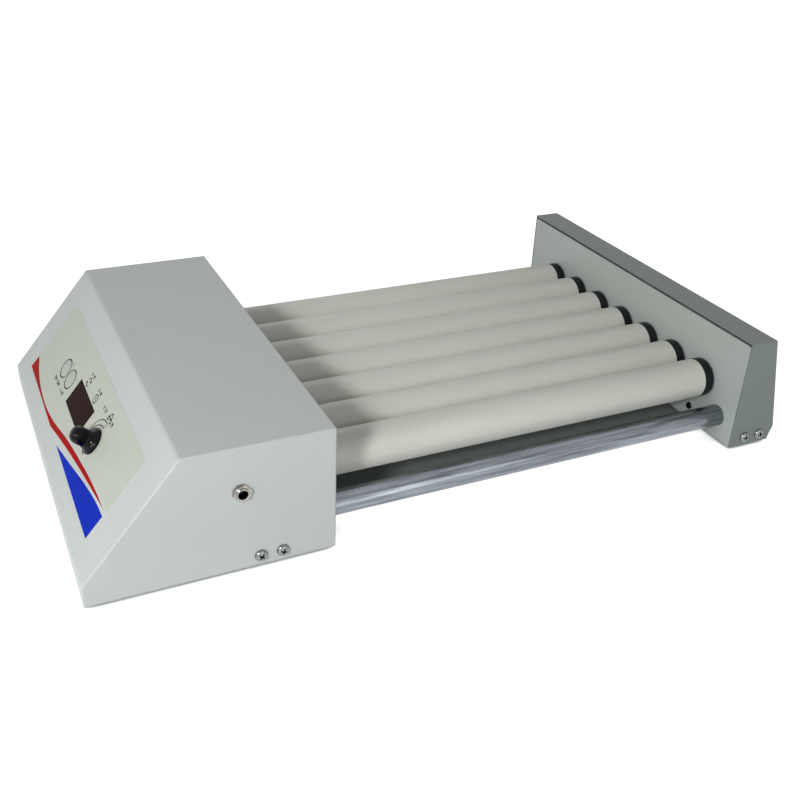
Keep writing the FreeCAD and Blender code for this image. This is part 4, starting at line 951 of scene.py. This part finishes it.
# %% [markdown]
# The speed scale is a sickle round the knob, which widens towards the fast end, with a short tick
# beside it. Its points are given by angle and distance from the knob, as such a scale is set out.

# %% Speed scale
def round_knob(angle, radius):
    """Point at an angle and distance from the knob's middle."""
    turn = math.radians(angle)
    return KNOB_SIDE + radius * math.cos(turn), KNOB_UP + radius * math.sin(turn)


speed_scale = [
    *sharp(round_knob(186, 13.6)),
    *[round_knob(*at) for at in ((165, 14.7), (142, 15.3), (113, 15.3))],
    *sharp(round_knob(85, 15.2), round_knob(87, 11.4)),
    *[round_knob(*at) for at in ((110, 11.4), (135, 11.9), (162, 12.6))],
]
tick = sharp((41.2, 32.7), (45.2, 32.2))
laid(drawn([(speed_scale, True), (tick, False)], 0.7), "printed_speed_scale", line_ink)

# %% [markdown]
# Small signs stand over the read-outs and the scale: a turning arrow for speed, a clock face for
# time, and a tube on two rollers. All are arcs and short strokes. A dot near the keys is a lamp.

# %% Signs
def arc(right, up, radius, first, last):
    """Open arc of a circle, as five points."""
    turns = [math.radians(first + (last - first) * step / 4) for step in range(5)]
    return [(right + radius * math.cos(t), up + radius * math.sin(t)) for t in turns]


def circle(right, up, radius):
    """Closed circle, also as five points."""
    return arc(right, up, radius, 0, 288), True


turning_arrow = [
    (arc(-12.9, 57.4, 2.9, 15, 150), False), (arc(-12.9, 57.4, 2.9, 195, 330), False),
    (sharp((-9, 59.6), (-10.1, 58.1), (-11.9, 58.9)), False),
    (sharp((-16.8, 55.2), (-15.7, 56.7), (-13.9, 55.9)), False),
]
clock = [circle(11.4, 57.4, 3), (sharp((11.4, 59.4), (11.4, 57.4), (12.9, 56.4)), False)]
tube_on_rollers = [circle(43.4, 61.2, 1.3), circle(49.2, 61.2, 1.3), circle(46.3, 63.6, 1.7)]
laid(drawn(turning_arrow + clock + tube_on_rollers, 0.8), "printed_signs", line_ink)

lamp_dot = drawn([(oval(-51.2, 51.6, 1.3, 1.3), True)])
bmesh.ops.translate(lamp_dot, vec=(0, 0, FIELD_INK), verts=lamp_dot.verts)
laid(lamp_dot, "printed_lamp_dot", line_ink)

# %% [markdown]
# Beside the signs stand plain numbers. The built-in font is made a little bolder, because ink runs
# as it dries.

# %% Numbers
numbers = []
for words, right, up, size in (
    ("ON / OFF", -59.2, 31.2, 3.8), ("1 - 99", -41.3, 31.4, 3.8),
    ("0 - 70", -12.6, 62, 3.2), ("0 - 99", 11.3, 61.6, 3.2),
    ("0  10", 32.6, 60.2, 3.6), ("70", 53.6, 60.2, 3.6),
):
    letters = bpy.data.curves.new("letters", "FONT")
    letters.body, letters.size, letters.align_x, letters.offset = words, size, "CENTER", 0.13
    line = as_mesh(letters)
    bpy.data.curves.remove(letters)
    raised(line, FIELD_INK)
    bmesh.ops.translate(line, vec=(right, up, FIELD_INK), verts=line.verts)
    numbers.append(line)
laid(joined(numbers), "printed_numbers", line_ink)

# %% [markdown]
# ## What is inside
# Nobody sees the drive unless the covers come off. One grey would do, yet each piece gets its own
# finish. Pulleys are turned acetal, off-white with fine rings round their axis. Belts are extruded
# polyurethane, matt and dark. Bushes are sintered bronze, speckled by the oil in its pores, and
# the feet are matt moulded rubber.

# %% Drive and feet
acetal = finish(
    "turned_acetal", "#D9D8D0", "#E2E1DA", patch=3, grain=0.3, relief=0.006, rough=(0.34, 0.46),
    stretch=(0.2, 1, 1),
)
belt_pu = finish(
    "extruded_polyurethane", "#1A1B1C", "#242526", patch=4, grain=0.4, relief=0.01,
    rough=(0.4, 0.55),
)
bronze = finish(
    "sintered_bronze", "#8F6A3C", "#A98250", patch=1.2, grain=0.25, relief=0.012,
    rough=(0.32, 0.5), metal=1.0,
)
foot_rubber = finish(
    "moulded_rubber", "#151616", "#1D1E1E", patch=4, grain=0.5, relief=0.02, rough=(0.6, 0.75),
)
dress(acetal, "motor_pulley", *[f"roller_pulley_{index}" for index in range(1, 8)])
dress(belt_pu, "roller_belts", "motor_belt")
dress(bronze, "bearing_bushes")
dress(foot_rubber, "rubber_feet")

# %% [markdown]
# The motor's can is zinc plated and streaked along its length, and its bracket is a duller zinc
# plated sheet. Shaft and spindle are ground steel, with fine rings and a sharp sheen. The tie
# tubes' screws share the black oxide of the small ones.

# %% Motor, bracket and shafts
motor_zinc = finish(
    "zinc_plated_can", "#8B8F92", "#A3A7A9", patch=7, grain=0.4, relief=0.004, rough=(0.28, 0.4),
    stretch=(6, 1, 1), metal=1.0,
)
bracket_zinc = finish(
    "zinc_plated_sheet", "#9A9D9B", "#B9BCB8", patch=6, grain=0.5, relief=0.004,
    rough=(0.26, 0.4), metal=1.0,
)
ground_steel = finish(
    "ground_steel", "#A9ACAE", "#BFC2C4", patch=1.5, grain=0.2, relief=0.002, rough=(0.16, 0.28),
    stretch=(0.3, 1, 1), metal=1.0,
)
dress(motor_zinc, "drive_motor")
dress(bracket_zinc, "motor_bracket")
dress(ground_steel, "motor_shaft", "potentiometer_spindle")
dress(screw_black, "tie_tube_screws")

# %% [markdown]
# The board is glass laminate under a green solder mask, a little glossy, with the weave as a
# mottle. Read-out, switches and potentiometer are dull black mouldings. The spacers are nickel
# plated brass, warm and bright.

# %% Board and its parts
board_green = finish(
    "solder_mask_on_glass_laminate", "#0E4A27", "#14592F", patch=1.4, grain=0.6, relief=0.006,
    rough=(0.26, 0.36),
)
display_black = finish(
    "black_display_housing", "#101112", "#17181A", patch=5, grain=0.5, relief=0.006,
    rough=(0.4, 0.5),
)
switch_black = finish(
    "black_switch_moulding", "#141516", "#1C1D1F", patch=3, grain=0.3, relief=0.006,
    rough=(0.35, 0.46),
)
spacer_nickel = finish(
    "nickel_plated_brass", "#C2BFB4", "#D6D3C8", patch=2, grain=0.25, relief=0.002,
    rough=(0.16, 0.26), metal=1.0,
)
dress(board_green, "circuit_board")
dress(display_black, "display_module")
dress(switch_black, "key_switches", "potentiometer")
dress(spacer_nickel, "board_spacers")

# %% [markdown]
# ## Table and light
# The machine stands on a pale sheet that keeps its shadow. More light would make the picture
# white, but burn out the pale covers. Instead, table and world glow white where a camera, a mirror
# or glass looks at them, as a table lit from below does, and light the machine only weakly.

# %% Who sees the white
LARGER, PRODUCT = {"operation": "MAXIMUM"}, {"operation": "MULTIPLY"}


def white_for_eyes(tree):
    """1 for a ray from the camera, from a mirror or through glass, and 0 for any other."""
    rays = add(tree, "ShaderNodeLightPath").outputs
    seen = rays["Is Camera Ray"]
    for kind in ("Is Glossy Ray", "Is Transmission Ray"):
        seen = add(tree, "ShaderNodeMath", LARGER, {0: seen, 1: rays[kind]}).outputs[0]
    return seen


# %% [markdown]
# The table is one grid, so wide that its edge is never seen.

# %% Table
TABLE_REACH = 9
table = bmesh.new()
bmesh.ops.create_grid(table, x_segments=8, y_segments=8, size=TABLE_REACH)
sheet = bpy.data.meshes.new("table")
table.to_mesh(sheet)
table.free()
floor = new_object("table", sheet)
print("table:", 2 * TABLE_REACH, "m wide")

# %% [markdown]
# Two painted shades hold the glow back and darken the matt colour. One is at the foot of a piece
# that stands close, found by ambient occlusion: how much a spot sees within 3 cm. The other is
# painted under the roller bed: the distance from the bed's middle, along and across, turned into
# two soft steps, of which the greater counts.

# %% Where the table's glow is held back and its shade painted
PAINTED_SHADE_SHIFT = -0.015
PAINTED_SHADE_EDGES = {"X": (0.225, 0.25), "Y": (0.103, 0.122)}
white = bpy.data.materials.new("white_laminate_table_with_painted_shade")
tree = bare_tree(white)
soft = {"interpolation_type": "SMOOTHSTEP"}
near = add(tree, "ShaderNodeAmbientOcclusion", {"samples": 8}, {"Distance": 0.03}).outputs["AO"]
steps = {"Value": near, "From Min": 0.1, "From Max": 0.5, "To Min": 0.1, "To Max": 1.0}
foot = add(tree, "ShaderNodeMapRange", soft, steps).outputs[0]
place = add(tree, "ShaderNodeTexCoord").outputs["Object"]
bed = {"Vector": place, "Location": (0, PAINTED_SHADE_SHIFT, 0)}
centred = add(tree, "ShaderNodeMapping", None, bed).outputs[0]
spot = add(tree, "ShaderNodeSeparateXYZ", None, {0: centred}).outputs
away = []
for axis, (inner, outer) in PAINTED_SHADE_EDGES.items():
    apart = add(tree, "ShaderNodeMath", {"operation": "ABSOLUTE"}, {0: spot[axis]}).outputs[0]
    reach = {"Value": apart, "From Min": inner, "From Max": outer}
    away.append(add(tree, "ShaderNodeMapRange", soft, reach).outputs[0])
clear = add(tree, "ShaderNodeMath", LARGER, {0: away[0], 1: away[1]}).outputs[0]
light = add(tree, "ShaderNodeMath", PRODUCT, {0: clear, 1: foot}).outputs[0]
print("shade under the bed:", 2 * PAINTED_SHADE_EDGES["X"][0], "by", 2 * PAINTED_SHADE_EDGES["Y"][0], "m")

# %% [markdown]
# The sheet is a matt white laminate. Where its glow is held back, its matt colour is painted grey
# as well: painted shade. Matt colour and glow are simply added, so the lamps' shadow stays in the
# matt part.

# %% Laminate of the table
glow = add(tree, "ShaderNodeMath", PRODUCT, {0: white_for_eyes(tree), 1: light}).outputs[0]
# The dark shade, #8C9391, is painted shade under the roller bed and at the feet.
shades = {"Factor": light, COLOUR_A: linear("#8C9391"), COLOUR_B: linear("#DADCDC")}
shade = add(tree, "ShaderNodeMix", {"data_type": "RGBA"}, shades).outputs[COLOUR_MIXED]
matt = add(tree, "ShaderNodeBsdfDiffuse", None, {"Color": shade}).outputs[0]
shine = {"Color": (1, 1, 1, 1), "Strength": glow}
lit = add(tree, "ShaderNodeEmission", None, shine).outputs[0]
laminate = add(tree, "ShaderNodeAddShader", None, {0: matt, 1: lit}).outputs[0]
add(tree, "ShaderNodeOutputMaterial", None, {"Surface": laminate})
sheet.materials.append(white)
print(white.name, "has", len(tree.nodes), "nodes")

# %% [markdown]
# The world behind is white in the same way, and its weak, even light stands for the room's walls.

# %% World
ROOM_LIGHT = 0.15
world = bpy.data.worlds.new("studio")
bpy.context.scene.world = world
tree = bare_tree(world)
level = {0: white_for_eyes(tree), 1: ROOM_LIGHT}
strength = add(tree, "ShaderNodeMath", LARGER, level).outputs[0]
white_sky = {"Color": (1, 1, 1, 1), "Strength": strength}
sky = add(tree, "ShaderNodeBackground", None, white_sky).outputs[0]
add(tree, "ShaderNodeOutputWorld", None, {"Surface": sky})
print("world: 1 to the eye,", ROOM_LIGHT, "as light")

# %% [markdown]
# A small key lamp at the left throws the control box's shadow over the rollers, and a wide lamp
# beside it softens it. Both stand close, so the light falls off towards the end housing. One wide
# lamp behind and two weak ones in front fill the rest. Sun lamps would be simpler, but don't fall
# off. Each has a place, an aim and a width in metres, and watts.

# %% Lamps
LAMPS = {
    "key_softbox": ((-0.75, -0.75, 0.55), (-0.12, 0, 0.05), 0.16, 5.2),
    "side_softbox": ((-0.95, -0.25, 0.4), (-0.15, 0, 0.05), 0.5, 2.25),
    "back_softbox": ((0.2, 1.2, 0.9), (0, 0, 0.05), 0.8, 2.6),
    "near_softbox": ((0.15, -0.7, 0.3), (-0.05, 0, 0.05), 0.4, 0.56),
    "low_softbox": ((0, -1, 0.15), (-0.05, 0, 0.05), 0.4, 0.5),
}
for name, (spot, aim, width, watts) in LAMPS.items():
    lamp = bpy.data.lights.new(name, "AREA")
    lamp.shape, lamp.size, lamp.energy = "DISK", width, watts
    turn = (Vector(aim) - Vector(spot)).to_track_quat("-Z", "Y").to_matrix().to_4x4()
    new_object(name, lamp).matrix_world = Matrix.Translation(spot) @ turn
    print(f"{name}: {watts} W, {width} m wide")

# %% [markdown]
# ## Camera
# The camera stands low in front of the near left corner. Its place and lens weren't tried out by
# eye, but solved from the straight edges of both housings, so the perspective is the photograph's
# own.

# %% Camera
CAMERA_PLACE = (-0.28954, -0.60529, 0.38901)
TO_RIGHT = Vector((0.9055749, -0.42215612, 0.04145255))
TO_TOP = Vector((0.17501967, 0.46086919, 0.87003891))
AHEAD = Vector((0.38639646, 0.78063039, -0.49123719))
lens = bpy.data.cameras.new("camera")
lens.lens, lens.sensor_width = 45.0, 36.0
lens.clip_start, lens.clip_end = 0.02, 50
camera = new_object("camera", lens)
turn = Matrix((TO_RIGHT, TO_TOP, -AHEAD)).transposed().to_4x4()
camera.matrix_world = Matrix.Translation(CAMERA_PLACE) @ turn
bpy.context.scene.camera = camera
print("camera:", lens.lens, "mm lens,", round(Vector(CAMERA_PLACE).length, 3), "m from the middle")

# %% [markdown]
# The picture is shown without a film look, so that a colour is seen as it is written.

# %% Colour management
bpy.context.scene.view_settings.view_transform = "Standard"
print("colours are shown as they are written")
